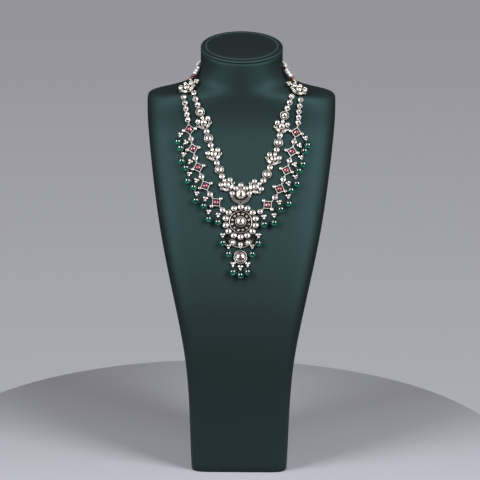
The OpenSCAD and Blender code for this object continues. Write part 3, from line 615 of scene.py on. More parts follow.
def make_finishes():
    """Makes all materials, under the names of their slots."""
    scene = bpy.context.scene
    colours = scene.necklace_colours

    finish = Finish("leatherette", colours.leather, 0.64, Specular_IOR_Level=0.58,
                    Specular_Tint=(0.36, 0.94, 1, 1))
    patches = finish.noise(9)
    # Paler along the welts and rims: a painted highlight
    tone = finish.add("HueSaturation", Value=finish.spread(patches, 0.85, 1.15),
                      Color=finish.mix_colour(finish.mask("painted_highlight"), colours.leather, colours.painted_highlight))
    grain = finish.add("TexVoronoi", {"feature": "DISTANCE_TO_EDGE"}, Vector=finish.own_place(),
                       Scale=1 / scene.necklace_sizes.grain)
    pebbles = finish.spread(grain.outputs["Distance"], 0, 1, 0, 0.25)
    finish.dress(Base_Color=tone.outputs["Color"], Roughness=finish.spread(patches, 0.6, 0.68),
                 Normal=finish.bump(pebbles, 0.00006, 0.7))

    finish = Finish("oxidised_silver", colours.silver, 0.48, 1.0)
    specks = finish.spread(finish.noise(1400, 3), -0.25, 0.25)
    oxide = finish.combine("ADD", finish.mask("oxide"), specks)
    finish.dress(Base_Color=finish.mix_colour(oxide, colours.silver, colours.oxide),
                 Roughness=finish.spread(oxide, 0.46, 0.62), Normal=finish.bump(finish.noise(2600), 0.00003))

    foil = foil_group()
    for name, light, dark, cell, metallic in (
            ("clear_stone", colours.clear, colours.foil, 900, 0.7),
            ("ruby", colours.ruby, colours.ruby_deep, 1200, 0.6)):
        finish = Finish(name, light, 0.27, metallic, Coat_Weight=1.0, Coat_Roughness=0.05, Coat_IOR=1.7)
        crinkle = finish.add("Group", {"node_tree": foil}, Cell=cell).outputs["Mask"]
        # The foil's crinkle, less the painted shade at the stone's table and edge
        bright = finish.combine("SUBTRACT", finish.spread(crinkle, 0.35, 1.25), finish.mask("shade"))
        finish.dress(Base_Color=finish.mix_colour(bright, dark, light))

    finish = Finish("emerald_glass", colours.emerald, 0.04, Transmission_Weight=0.3, IOR=1.57,
                    Coat_Weight=1.0, Coat_Roughness=0.02, Coat_IOR=1.9)
    # Painted glow: refracted light painted into the base colour, mottled by noise
    cloud = finish.spread(finish.noise(300, 3), -0.2, 1.3, 0.3, 0.7)
    painted_glow_mask = finish.combine("MULTIPLY", finish.mask("glow"), cloud)
    finish.dress(Base_Color=finish.mix_colour(painted_glow_mask, colours.emerald, colours.glow))

    finish = Finish("pearl", colours.pearl, 0.22, Coat_Weight=0.6, Coat_Roughness=0.12, Sheen_Weight=0.1)
    dull = [c * 0.92 for c in colours.pearl]
    finish.dress(Base_Color=finish.mix_colour(finish.noise(500), dull, colours.pearl))

    finish = Finish("garnet_red", colours.red, 0.08, Transmission_Weight=0.3, IOR=1.6, Coat_Weight=0.5)
    dark = [c * 0.5 for c in colours.red]
    finish.dress(Base_Color=finish.mix_colour(finish.noise(700), dark, colours.red))

    finish = Finish("gilt_brass", colours.gold, 0.3, 1.0)
    finish.dress(Roughness=finish.spread(finish.noise(1500), 0.22, 0.4))

    finish = Finish("silk", colours.silk, 0.7, Sheen_Weight=0.3)
    twist = finish.add("TexWave", Vector=finish.own_place(), Scale=900)
    finish.dress(Normal=finish.bump(twist.outputs["Fac"], 0.0001))

    finish = Finish("pale_floor", colours.floor, 0.6)
    finish.dress(Roughness=finish.spread(finish.noise(7), 0.5, 0.68))


def finish_for(slot):
    if not FINISHES:
        make_finishes()
    return FINISHES[slot]


# Fineness of the meshes
CIRCLE_STEPS = 28
CUP_STEPS = 20
CURL_STEPS = 18
SMALL_STEPS = 16
LOBE_STEPS = 14
BEAD_STEPS = 24
PEARL_STEPS = 20
PEARL_RINGS = 14
BOSS_STEPS = 36
RIM_STEPS = 44
FINE_STEPS = 56
FLOOR_STEPS = 128
DOUBLES = 1e-4
# An edge is sharp between faces that turn by more than this, in radians
SHARP = 1
# Angles up to which a piece is shaded smooth, in degrees
STONE_SMOOTH = 4
METAL_SMOOTH = 40
BUST_SMOOTH = 50
ROUND_SMOOTH = 60

# Details that only the finished pieces have, in millimetres. Metal turns black over the stain's band
STAIN_BAND = 0.9
TUCK = 0.1
EDGE = 0.15
TOP_EDGE = 0.2
BOX_EDGE = 0.18
WIRE_SIDES = 7
WIRE_STEPS = 14
THIN_WALL = 0.3
LEAF_WALL = 0.4
THIN_GIRDLE = 0.2
GIRDLE = 0.25
# Rolled tops of a bezel and of a rim. Columns: share of the wall from outside, depth below the top
BEZEL_ROLL = ((0, 0.4), (0.2, 0.1), (0.5, 0), (0.85, 0.1), (1, 0.3))
RIM_ROLL = ((0, 0.35), (0.2, 0.1), (0.5, 0), (0.8, 0.1), (1, 0.35))
# Painted shade on a stone's colour at its foot, girdle, facet break and table, darkest at the table as a
# painted dark reflection. It fades out in small stones
FACET_SHADE = (0.5, 0.3, 0, 1)
SHADE_FROM_R = 1.2
SHADE_OVER_R = 1.4
STONE_RISE = 4 * STONE_FIT


def paint(part, name, value):
    """Gives each vertex of a mesh its value of an attribute."""
    layer = part.verts.layers.float.get(name) or part.verts.layers.float.new(name)
    for v in part.verts:
        v[layer] = value(v.co)


def new_metal():
    """An empty mesh in millimetres with the attribute that darkens the recesses."""
    bm = bmesh.new()
    bm.verts.layers.float.new("oxide")
    return bm


def stain(top, z):
    """How black the metal is at a height, from 0 at its bright top."""
    return min(max((top - z) / STAIN_BAND, 0), 1)


def add(bm, part, at=(0, 0, 0), turn=0.0, top=None):
    """Joins a part to a mesh at its place, blackened below its top, and frees it."""
    bmesh.ops.remove_doubles(part, verts=part.verts[:], dist=DOUBLES)
    bmesh.ops.recalc_face_normals(part, faces=part.faces[:])
    if top is not None:
        paint(part, "oxide", lambda co: stain(top, co.z))
    part.transform(Matrix.Translation((*at, 0)[:3]) @ Matrix.Rotation(turn, 4, "Z"))
    mesh = bpy.data.meshes.new("part")
    part.to_mesh(mesh)
    part.free()
    bm.from_mesh(mesh)
    bpy.data.meshes.remove(mesh)


def turned(profile, steps=CIRCLE_STEPS, ring=False):
    """A profile of radius and height, spun round the Z axis. A ring's profile is closed."""
    part = bmesh.new()
    line = [part.verts.new((r, 0, z)) for r, z in profile]
    ends = line[1:] + line[:1] if ring else line[1:]
    edges = [part.edges.new(pair) for pair in zip(line, ends)]
    bmesh.ops.spin(part, geom=line + edges, cent=(0, 0, 0), axis=(0, 0, 1), angle=math.tau, steps=steps,
                   use_merge=True)
    return part


def break_edges(part, edges, width):
    bmesh.ops.bevel(part, geom=edges, offset=width, segments=1, affect="EDGES", profile=0.5, material=-1)


def box(sx, sy, sz, z=0.0):
    """A block with its edges broken, standing on z."""
    part = bmesh.new()
    at = Matrix.Translation((0, 0, z + sz / 2)) @ Matrix.Diagonal((sx, sy, sz, 1))
    bmesh.ops.create_cube(part, size=1, matrix=at)
    break_edges(part, part.edges[:], min(sx, sy, sz) * BOX_EDGE)
    return part


def circle_outline(r, count):
    return [polar(r, i * math.tau / count) for i in range(count)]


def wire_ring(r, thick=1.0):
    """A ring of the jump rings' wire or of thicker wire, lying flat."""
    wire = detail_sizes()["wire"] * thick
    return turned([(r + x, z) for z, x in circle_outline(wire, WIRE_SIDES)], WIRE_STEPS, ring=True)


def bezel(d, h, wall, floor=None, steps=CIRCLE_STEPS):
    """A round cup with a rolled rim, closed at the depth where its stone sits."""
    r, floor = d / 2, h - POCKET if floor is None else floor
    roll = [(r - wall * t, h - down) for t, down in BEZEL_ROLL]
    return turned([(0, 0), (r - TUCK, 0), (r, EDGE), *roll, (r - wall, floor), (0, floor)], steps)


def rim_ring(d, h, wall, steps=RIM_STEPS):
    """A standing ring with a rolled top."""
    r = d / 2
    roll = [(r - wall * t, h - down) for t, down in RIM_ROLL]
    return turned([(r, 0), *roll, (r - wall, 0)], steps, ring=True)


def plate(r, h, steps=CIRCLE_STEPS):
    return turned([(0, 0), (r - EDGE, 0), (r, EDGE), (r, h - TOP_EDGE), (r - TOP_EDGE, h), (0, h)], steps)


def pear_outline(r, length, count=22):
    """A round end with two straight sides that meet in a point."""
    turn = math.acos(r / length)
    return [(0, length)] + [polar(r, mix(turn, math.tau - turn, t)) for t in shares(count - 2)]


def leaf_outline(length, width, count=12):
    """Two arcs that meet in a point at each end, along X."""
    arc_r = (length ** 2 + width ** 2) / (4 * width)
    half = math.asin(length / 2 / arc_r)
    arc = [polar(arc_r, mix(-half, half, t)) for t in shares(count // 2)[:-1]]
    upper = [(x, y - (arc_r - width / 2)) for x, y in arc]
    return upper + [(-x, -y) for x, y in upper]


def lune_outline(r, inner_r, inner_y, tip_y, outer_y=0.0, count=36):
    """A crescent between two arcs, cut off level at its tips."""
    a0 = math.acos((tip_y - outer_y) / r)
    b0 = math.acos((tip_y - inner_y) / inner_r)
    steps = shares(count // 2 - 1)
    outer = [polar(r, mix(a0, math.tau - a0, t)) for t in steps]
    inner = [polar(inner_r, mix(math.tau - b0, b0, t)) for t in steps]
    return [(x, outer_y + y) for x, y in outer] + [(x, inner_y + y) for x, y in inner]


def cut_shape(outline):
    """A flat face with an outline."""
    part = bmesh.new()
    bmesh.ops.create_circle(part, cap_ends=True, segments=len(outline), radius=1)
    part.verts.ensure_lookup_table()
    for v, (x, y) in zip(part.verts, outline):
        v.co = (x, y, 0)
    return part


def extrude(part, faces, rise):
    """Extrudes faces straight up, or down."""
    moved = bmesh.ops.extrude_face_region(part, geom=faces)["geom"]
    verts = [g for g in moved if isinstance(g, bmesh.types.BMVert)]
    bmesh.ops.translate(part, verts=verts, vec=(0, 0, rise))


def tray(outline, height, wall, floor):
    """A plate of an outline whose thin bright rim stands over its recess."""
    part = cut_shape(outline)
    extrude(part, part.faces[:], height)
    bmesh.ops.holes_fill(part, edges=[e for e in part.edges if e.is_boundary])
    bmesh.ops.recalc_face_normals(part, faces=part.faces[:])
    tops = [f for f in part.faces if min(v.co.z for v in f.verts) > height / 2]
    bmesh.ops.inset_region(part, faces=tops, thickness=wall, use_even_offset=True)
    extrude(part, tops, floor - height)
    bmesh.ops.delete(part, geom=[f for f in tops if f.is_valid], context="FACES")
    rim = [e for e in part.edges if min(v.co.z for v in e.verts) > height - 0.01]
    break_edges(part, [e for e in rim if len(e.link_faces) == 2 and e.calc_face_angle(0) > SHARP],
                wall * 0.25)
    return part


def detail_sizes():
    """The user's sizes in millimetres, as floats that the patterns share."""
    sizes = bpy.context.scene.necklace_sizes
    lengths = {name: getattr(sizes, name) / MM for name in ("wall", "rim", "wire", "jump", "piping")}
    return lengths | {name: getattr(sizes, name) for name in ("upper", "lower", "waist", "table")}


def gem(outline, r, z, girdle=GIRDLE, dim=0.0):
    """A rose-cut stone of an outline and radius: a girdle, two rows of facets and a flat table."""
    s = detail_sizes()
    part = bmesh.new()
    middles = [((a[0] + b[0]) / 2, (a[1] + b[1]) / 2) for a, b in zip(outline, outline[1:] + outline[:1])]
    waist = z + girdle + r * (1 - s["waist"]) * math.tan(s["lower"])
    top = waist + r * (s["waist"] - s["table"]) * math.tan(s["upper"])
    rows = (
        (outline, 1, z), (outline, 1, z + girdle), (middles, s["waist"], waist), (outline, s["table"], top))
    # Each vertex carries its painted shade, plus dim, which darkens the whole stone
    layer = part.verts.layers.float.new("shade")
    depth = min(max((r - SHADE_FROM_R) / SHADE_OVER_R, 0), 1)
    for (points, scale, height), shade in zip(rows, FACET_SHADE):
        for x, y in points:
            part.verts.new((x * scale, y * scale, height))[layer] = shade * depth + dim
    bmesh.ops.convex_hull(part, input=part.verts[:])
    bmesh.ops.dissolve_limit(part, angle_limit=0.01, verts=part.verts[:], edges=part.edges[:])
    return part


def make_piece(name, bm, slot, nodes=(), smooth=METAL_SMOOTH, finish=None, at=None):
    """Turns a mesh in metres, or one in millimetres with its matrix, into a piece that rides on the body."""
    if at is not None:
        bm.transform(Matrix.Scale(MM, 4) @ at)
    mesh = bpy.data.meshes.new(name)
    bm.to_mesh(mesh)
    bm.free()
    mesh.shade_smooth()
    mesh.set_sharp_from_angle(angle=math.radians(smooth))
    mesh.materials.append(finish_for(finish or slot))
    obj = bpy.data.objects.new(name, mesh)
    bpy.context.scene.collection.objects.link(obj)
    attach(obj, "root")
    if nodes:
        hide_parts(*nodes)
    return obj


def pattern_of(bm):
    mesh = bpy.data.meshes.new("pattern")
    bm.to_mesh(mesh)
    bm.free()
    return mesh


def scatter(name, slot, jobs, nodes=(), smooth=METAL_SMOOTH):
    """One piece from patterns in millimetres at their places."""
    bm = bmesh.new()
    for pattern, matrix in jobs:
        copy = pattern.copy()
        copy.transform(Matrix.Scale(MM, 4) @ matrix)
        bm.from_mesh(copy)
        bpy.data.meshes.remove(copy)
    return make_piece(name, bm, slot, nodes, smooth)


def metal_piece(node, *jobs):
    """The silver piece that stands for a node."""
    scatter(f"{node}_metal", "oxidised_silver", jobs, [node])


def add_bezel(bm, at, d, h, floor=None, steps=CIRCLE_STEPS):
    add(bm, bezel(d, h, detail_sizes()["wall"], floor, steps), at, top=h)


def add_stone(bm, at, d, h, sides=8, dim=0.0):
    """A round stone in a bezel of diameter d and height h."""
    r = d / 2 - detail_sizes()["wall"] - STONE_FIT
    add(bm, gem(circle_outline(r, sides), r, h - POCKET + STONE_RISE, dim=dim), at)


def stones_pattern(stones, gems=()):
    """Round stones, given as for add_stone, and other gems, given as for add."""
    bm = bmesh.new()
    for stone in stones:
        add_stone(bm, *stone)
    for part in gems:
        add(bm, *part)
    return pattern_of(bm)


MIDDLE = (0, 0)
# Wire eyes. Columns: radius, distance of the eye's middle inside the edge
FLOWER_EYE = (0.8, 0.35)
CENTRE_EYE = (0.9, 0.3)
CRESCENT_WALL = 0.45
CRESCENT_FLOOR = 1.5
CENTRE_FLOOR = 1.7
CENTRE_CURVE_STEPS = 48
LEAF_DEPTH = 0.8
LEAF_STONE_L = 5.2
LEAF_STONE_W = 2.5
LEAF_STONE_R = 1.2
CURL_DOWN = 0.1
PETAL_PLACES = [polar(PETAL_REACH, way * PETAL_ANGLE) for way in WAYS]
LEAF_PLACES = [(way * LEAF_TURN, polar(LEAF_R - LEAF_W / 2, math.pi - way * LEAF_TURN)) for way in WAYS]


def collet_pattern(d):
    bm = new_metal()
    add_bezel(bm, MIDDLE, d, LOW_H)
    return pattern_of(bm)


def ring_pattern():
    bm = new_metal()
    add(bm, plate(RING_D / 2 - TUCK, BACK_T), top=LOW_H)
    add(bm, rim_ring(RING_D, LOW_H, detail_sizes()["rim"]), top=LOW_H)
    add_bezel(bm, MIDDLE, RING_CUP_D, HIGH_H)
    return pattern_of(bm)


def flower_pattern():
    """A cup over a crescent of leaves, with three petals and a curl at each tip."""
    bm = new_metal()
    add(bm, plate(PETAL_REACH - 1, BACK_T), top=LOW_H)
    crescent = lune_outline(LEAF_R, LEAF_R + LEAF_RISE - LEAF_W, LEAF_RISE, LEAF_TOP)
    add(bm, tray(crescent, LOW_H, CRESCENT_WALL, CRESCENT_FLOOR), top=LOW_H)
    leaf_h = LOW_H - BACK_T
    for way, (turn, (x, y)) in zip(WAYS, LEAF_PLACES):
        leaf = tray(leaf_outline(LEAF_L, LEAF_W - 0.5), leaf_h, LEAF_WALL, leaf_h - LEAF_DEPTH)
        add(bm, leaf, (x, y, BACK_T), turn, top=leaf_h)
        curl = polar(LEAF_R - 0.5, way * CURL_ANGLE)
        add_bezel(bm, curl, CURL_D, LOW_H - CURL_DOWN, BACK_T, CURL_STEPS)
    add(bm, wire_ring(FLOWER_EYE[0]), (0, FLOWER_EYE[1] - LEAF_R, BACK_T), top=BACK_T)
    add_bezel(bm, MIDDLE, FLOWER_CUP_D, HIGH_H)
    add_bezel(bm, (0, TOP_PETAL_REACH), TOP_PETAL_D, LOW_H, steps=CUP_STEPS)
    for p in PETAL_PLACES:
        add_bezel(bm, p, PETAL_D, LOW_H)
    return pattern_of(bm)


def flower_stones_pattern():
    stones = [(MIDDLE, FLOWER_CUP_D, HIGH_H), ((0, TOP_PETAL_REACH), TOP_PETAL_D, LOW_H)]
    stones += [(p, PETAL_D, LOW_H) for p in PETAL_PLACES]
    leaf = leaf_outline(LEAF_STONE_L, LEAF_STONE_W)
    return stones_pattern(stones, [
        (gem(leaf, LEAF_STONE_R, LOW_H - LEAF_DEPTH, THIN_GIRDLE), p, turn) for turn, p in LEAF_PLACES])


ROSETTE_CROSS_R = 0.72 * ROSETTE_CUP_D


def rosette_places(way):
    """Places of the rosette's four bezels and of the one that the nape string hangs from."""
    x, y = polar(ROSETTE_REACH, -way * ROSETTE_ANGLE)
    cross = [(x + dx, y + dy) for dy, dx in circle_outline(ROSETTE_CROSS_R, 4)]
    return [*cross, polar(STRING_EYE_REACH, -way * STRING_EYE_ANGLE)]


SQUARE_CORNER = SQUARE_W / math.sqrt(2)
CORNER_CUPS = [(way * (SQUARE_CORNER + CORNER_CUP_D * 0.15), 0) for way in WAYS]
SQUARE_RIM = 0.85 * math.sqrt(2)
SQUARE_SLOPE = 0.3
BAR_W = 1.6
BAR_T = BACK_T + 0.5
LUG_W = 1.3
LUG_LAP = 1
# Heights above a part that its stain counts from, which dull its whole top
LUG_DULL = 0.2
RUBY_CUP_DULL = 0.5
CRESCENT_DULL = 0.45
TOOTH_DULL = 0.3
SPOKE_DULL = 0.1
SEED_DULL = 0.4


def square_pattern():
    """An open square on its corner, with crossed bars under a ruby's cup and a lug at each end."""
    bm = new_metal()
    outer, inner = SQUARE_CORNER, SQUARE_CORNER - SQUARE_RIM
    side_h = LOW_H - SQUARE_SLOPE
    add(bm, turned([(outer, 0), (outer, side_h), (outer - TOP_EDGE, LOW_H), (inner + TOP_EDGE, LOW_H),
                    (inner, side_h), (inner, 0)], 4, ring=True), top=LOW_H)
    for turn in (math.pi / 4, -math.pi / 4):
        add(bm, box(BAR_W, SQUARE_W - SQUARE_BAR, BAR_T), turn=turn, top=LOW_H)
    for way, cup in zip(WAYS, CORNER_CUPS):
        lug = box(LUG_W, SQUARE_LUG + LUG_LAP, BACK_T)
        add(bm, lug, (0, way * (outer + (SQUARE_LUG - LUG_LAP) / 2)), top=BACK_T + LUG_DULL)
        add_bezel(bm, cup, CORNER_CUP_D, LOW_H, steps=CURL_STEPS)
    add(bm, bezel(RUBY_CUP_D, HIGH_H, RUBY_WALL), top=HIGH_H + RUBY_CUP_DULL)
    return pattern_of(bm)


def ruby_pattern():
    r = RUBY_CUP_D / 2 - RUBY_WALL - STONE_FIT
    return stones_pattern((), [(gem(circle_outline(r, 7), r, HIGH_H - POCKET + STONE_RISE),)])


CENTRE_CUPS = (
    (0, PEAR_L + PIECE_GAP + CENTRE_CUP_D / 2), (-6.3, 7.9), (6.3, 7.9), (-10.7, 1.2), (10.7, 1.2))
TIP_CUP = (11.3, -2.6)
TIP_CUP_D = 2.9
# Teeth of the crescent, from its bottom to its tips
TEETH = 9
TOOTH_W = 0.45
TOOTH_H = 1.0
TOOTH_ANGLE = (0.12, 1.12)
TOOTH_L = (2.7, 1.8)
TOOTH_IN = (1.9, 1.5)


def centre_pattern():
    bm = new_metal()
    add(bm, plate(CENTRE_BACK_R, BACK_T), top=LOW_H)
    inner_r = CRESCENT_R + CRESCENT_RISE - CRESCENT_W
    crescent = lune_outline(CRESCENT_R, inner_r, CRESCENT_RISE, CRESCENT_TOP, count=CENTRE_CURVE_STEPS)
    add(bm, tray(crescent, LOW_H, LEAF_WALL, CENTRE_FLOOR), top=LOW_H + CRESCENT_DULL)
    for way in WAYS:
        for t in shares(TEETH - 1):
            angle = math.pi - way * mix(*TOOTH_ANGLE, t)
            tooth = box(TOOTH_W, mix(*TOOTH_L, t), TOOTH_H, CRESCENT_FLOOR)
            at = polar(CRESCENT_R - mix(*TOOTH_IN, t), angle)
            add(bm, tooth, at, -angle, top=LOW_H + TOOTH_DULL)
        add_bezel(bm, (way * TIP_CUP[0], TIP_CUP[1]), TIP_CUP_D, LOW_H, BACK_T, SMALL_STEPS)
    pear = tray(pear_outline(PEAR_R, PEAR_L), HIGH_H, detail_sizes()["wall"], HIGH_H - POCKET)
    add(bm, pear, top=HIGH_H)
    for p in CENTRE_CUPS:
        add_bezel(bm, p, CENTRE_CUP_D, LOW_H)
    add(bm, wire_ring(CENTRE_EYE[0]), (0, CENTRE_EYE[1] - CRESCENT_R, BACK_T), top=BACK_T)
    return pattern_of(bm)


def pear_gem(r, length, inset, count):
    """A pear stone inside a cup of radius r and length."""
    inside = r - inset
    return gem(pear_outline(inside, length * inside / r, count), inside, HIGH_H - POCKET + STONE_FIT)


def centre_stones_pattern():
    pear = pear_gem(PEAR_R, PEAR_L, detail_sizes()["wall"] + STONE_FIT, 14)
    return stones_pattern([(p, CENTRE_CUP_D, LOW_H) for p in CENTRE_CUPS], [(pear,)])


RAY_PLACES = circle_outline(RAY_REACH, RAYS)
SEED_REACH = (RIM_D + BOSS_RING_D) / 4
SEED_ANGLES = [i * math.tau / SEEDS for i in range(SEEDS)]
SPOKE_W = 0.45
SPOKE_H = 1.2
SEED_H = BACK_T + 0.9
SEED_FLOOR = BACK_T + 0.3
SEED_STONE_R = SEED_D / 2 - 0.35
INNER_RIM_D = RIM_D - 2.4
INNER_RIM_H = RIM_H - 1.1
INNER_RIM_WALL = 0.35
INNER_RIM_TOP = RIM_H - 0.3
SQUARE_GIRDLE = 0.1


def medallion_pattern():
    """A boss in a ring, spokes and square seeds between it and the rim, and rays outside the rim."""
    bm = new_metal()
    s = detail_sizes()
    add(bm, plate(RAY_REACH - RAY_D / 4, BACK_T, FINE_STEPS), top=LOW_H)
    add(bm, rim_ring(RIM_D, RIM_H, s["rim"], FINE_STEPS), top=RIM_H)
    add(bm, rim_ring(INNER_RIM_D, INNER_RIM_H, INNER_RIM_WALL, FINE_STEPS), top=INNER_RIM_TOP)
    add(bm, plate(BOSS_RING_D / 2 - TUCK, BOSS_FLOOR_H), top=BOSS_RING_H)
    add(bm, rim_ring(BOSS_RING_D, BOSS_RING_H, s["rim"]), top=BOSS_RING_H)
    for angle in SEED_ANGLES:
        spoke = box(SPOKE_W, (RIM_D - BOSS_RING_D) / 2, SPOKE_H, BACK_T)
        add(bm, spoke, polar(SEED_REACH, angle), -angle, top=RIM_H + SPOKE_DULL)
        angle += math.pi / SEEDS
        seed = bezel(SEED_D, SEED_H, THIN_WALL, SEED_FLOOR, 4)
        add(bm, seed, polar(SEED_REACH, angle), math.pi / 4 - angle, top=SEED_H + SEED_DULL)
    for p in RAY_PLACES:
        add_bezel(bm, p, RAY_D, RIM_H)
    add(bm, bezel(BOSS_D, BOSS_H, s["wall"], steps=BOSS_STEPS), top=BOSS_H)
    return pattern_of(bm)


def medallion_stones_pattern():
    seeds = []
    for angle in [a + math.pi / SEEDS for a in SEED_ANGLES]:
        seed = gem(circle_outline(SEED_STONE_R, 4), SEED_STONE_R, SEED_FLOOR + STONE_FIT, SQUARE_GIRDLE)
        seeds.append((seed, polar(SEED_REACH, angle), math.pi / 4 - angle))
    rays = [(p, RAY_D, RIM_H) for p in RAY_PLACES]
    return stones_pattern([*rays, (MIDDLE, BOSS_D, BOSS_H, 10)], seeds)


FAN_CUPS = [(way * FAN_CUP_PLACE[0], FAN_CUP_PLACE[1]) for way in WAYS]
FAN_TIP = 12.6
FAN_WALL = 0.55
FAN_LEAF = (9.4, 6.4, 20)
FAN_LEAF_H = LOW_H + 0.4
FAN_LEAF_TURN = 0.5
FAN_CUP_H = LOW_H + 0.2
FAN_EYE_R = 1
FAN_EYE = (2.9, 7.4)
HORN_L = 5
KITE_WALL = 0.5


def fan_pattern():
    bm = new_metal()
    fan = lune_outline(FAN_R, MEDALLION_R + PIECE_GAP, FAN_DOWN, FAN_TIP, FAN_R - FAN_BOTTOM, FINE_STEPS)
    part = tray(fan, LOW_H, FAN_WALL, BACK_T)
    paint(part, "oxide", lambda co: max(stain(LOW_H, co.z), min(co.y / HORN_L, 1)))
    add(bm, part)
    for way, (x, y) in zip(WAYS, FAN_CUPS):
        leaf = tray(leaf_outline(*FAN_LEAF), FAN_LEAF_H, LEAF_WALL, BACK_T)
        add(bm, leaf, (x, y), way * FAN_LEAF_TURN, top=FAN_LEAF_H)
        add_bezel(bm, (x, y), FAN_CUP_D, FAN_CUP_H, steps=CUP_STEPS)
    kite = tray(pear_outline(KITE_R, KITE_L, 16), HIGH_H, KITE_WALL, HIGH_H - POCKET)
    add(bm, kite, (0, KITE_Y), math.pi, top=HIGH_H)
    for way in WAYS:
        add(bm, wire_ring(FAN_EYE_R), (way * FAN_EYE[0], FAN_EYE[1], BACK_T), top=BACK_T)
    return pattern_of(bm)


def fan_stones_pattern():
    kite = pear_gem(KITE_R, KITE_L, KITE_WALL + STONE_FIT, 9)
    return stones_pattern([(p, FAN_CUP_D, FAN_CUP_H) for p in FAN_CUPS], [(kite, (0, KITE_Y), math.pi)])


DROP_WALL = 0.8
DROP_STONE_DIM = 0.5
DROP_EYE_THICK = 1.3
DROP_EYE_OUT = 0.3


def round_drop_pattern():
    bm = new_metal()
    add(bm, plate(DROP_D / 2 - TUCK, BACK_T, RIM_STEPS), top=LOW_H)
    add(bm, rim_ring(DROP_D, LOW_H, DROP_WALL), top=LOW_H)
    add_bezel(bm, MIDDLE, DROP_CUP_D, HIGH_H, steps=BOSS_STEPS)
    eye = wire_ring(EYE_D / 2 - detail_sizes()["wire"], DROP_EYE_THICK)
    add(bm, eye, (0, DROP_D / 2 + DROP_EYE_OUT, BACK_T / 2), top=BACK_T)
    return pattern_of(bm)


LOBE_PLACES = [polar(LOBE_REACH, math.radians(a)) for a in (60, -60, 180)]
LOBE_FLOOR = LOBE_H - 0.5
LOBE_STONE_R = 1.27
CAP_BACK_T = 1.5
CAP_LINK_R = 1.2
CAP_LINK_AT = (0, -CAP_BOTTOM - 0.2, 3)


def cap_pattern():
    """A trefoil of small domes in bezels, with the wire ring that its drop hangs from."""
    bm = new_metal()
    add(bm, plate(LOBE_D / 2, CAP_BACK_T, SMALL_STEPS), top=LOBE_H)
    for p in LOBE_PLACES:
        add(bm, bezel(LOBE_D, LOBE_H, THIN_WALL, LOBE_FLOOR, LOBE_STEPS), p, top=LOBE_H)
    link = wire_ring(CAP_LINK_R)
    link.transform(Matrix.Translation(CAP_LINK_AT) @ Matrix.Rotation(math.pi / 2, 4, "Y"))
    add(bm, link, top=0.0)
    return pattern_of(bm)


def cap_stones_pattern():
    outline, z = circle_outline(LOBE_STONE_R, 6), LOBE_FLOOR + STONE_FIT / 2
    return stones_pattern((), [(gem(outline, LOBE_STONE_R, z, THIN_GIRDLE), p) for p in LOBE_PLACES])


# An emerald's shoulder, the swell of its sides and its pierced tip
SHOULDER_ANGLE = math.radians(14)
SIDE_SWELL = 0.25
TIP_EDGE = 0.35
ROUND_STEPS = 12
TAPER_STEPS = 5
# The pierced hole. Columns: radius, depth
HOLE_DEPTHS = ((0.35, 0.1), (0.25, 1), (0, 1.2))
# The painted glow, refracted light painted into the emerald's colour, starts above the middle of the round
# end, and is weaker at the front
GLOW_START = 0.2
GLOW_POWER = 1.5
GLOW_BACK = 1.1
GLOW_FRONT_LOSS = 0.6


def emerald_pattern():
    """A pierced drop with its round end down, its axis along Y."""
    r, round_y, tip_y = EMERALD_D / 2, (EMERALD_D - EMERALD_L) / 2, EMERALD_L / 2
    angles = [mix(-math.pi / 2, SHOULDER_ANGLE, t) for t in shares(ROUND_STEPS)]
    profile = [(r * math.cos(a), round_y + r * math.sin(a)) for a in angles]
    x0, y0 = profile[-1]
    for t in shares(TAPER_STEPS)[1:]:
        swell = SIDE_SWELL * math.sin(math.pi * t)
        profile.append((mix(x0, TIP_D / 2, t) + swell, mix(y0, tip_y - TIP_EDGE, t)))
    profile.append((TIP_D / 2 - TIP_EDGE, tip_y))
    profile += [(x, tip_y - depth) for x, depth in HOLE_DEPTHS]

    def glow(co):
        """Painted glow: strongest low in the drop and towards its back."""
        low = max((round_y - co.y) / r + GLOW_START, 0) ** GLOW_POWER
        return low * (GLOW_BACK - GLOW_FRONT_LOSS * max(co.z, 0) / r)

    bm = bmesh.new()
    bm.verts.layers.float.new("glow")
    part = turned([(max(x, 0), y) for x, y in profile], BEAD_STEPS)
    part.transform(Matrix.Rotation(-math.pi / 2, 4, "X"))
    paint(part, "glow", glow)
    add(bm, part)
    return pattern_of(bm)


# The stage, in metres
AIM = Vector((0.0006, -0.05643, 0.303))
LAMP_AIM = Vector((0, 0, 0.35))
FRAME_PIXELS = 480
SENSOR_W = 36
CLIP_END = 20
FLOOR_AT = (-0.026, 0.034, -0.0005)
FLOOR_PROFILE = ((0, 0), (0.38, 0), (0.386, -0.002), (0.388, -0.008), (0.388, -0.03), (0, -0.03))
FLOOR_SHARP = math.radians(30)
# Directions between which the surroundings fade, from -1 to 1: down to up, or front to back
WALL_FADE = (-0.32, -0.1)
ROOM_FADE = (-0.3, 0.6)
CEILING_FADE = (0.3, 0.8)
# Columns: name, angle from the front in degrees, power against a softbox
SOFTBOXES = (("softbox_left", -52, 0.85), ("softbox_right", 50, 0.97))
SOFTBOX_SIZE = (0.6, 1.3)
SOFTBOX_HEIGHT = 1.2
SOFTBOX_REACH = 1.25


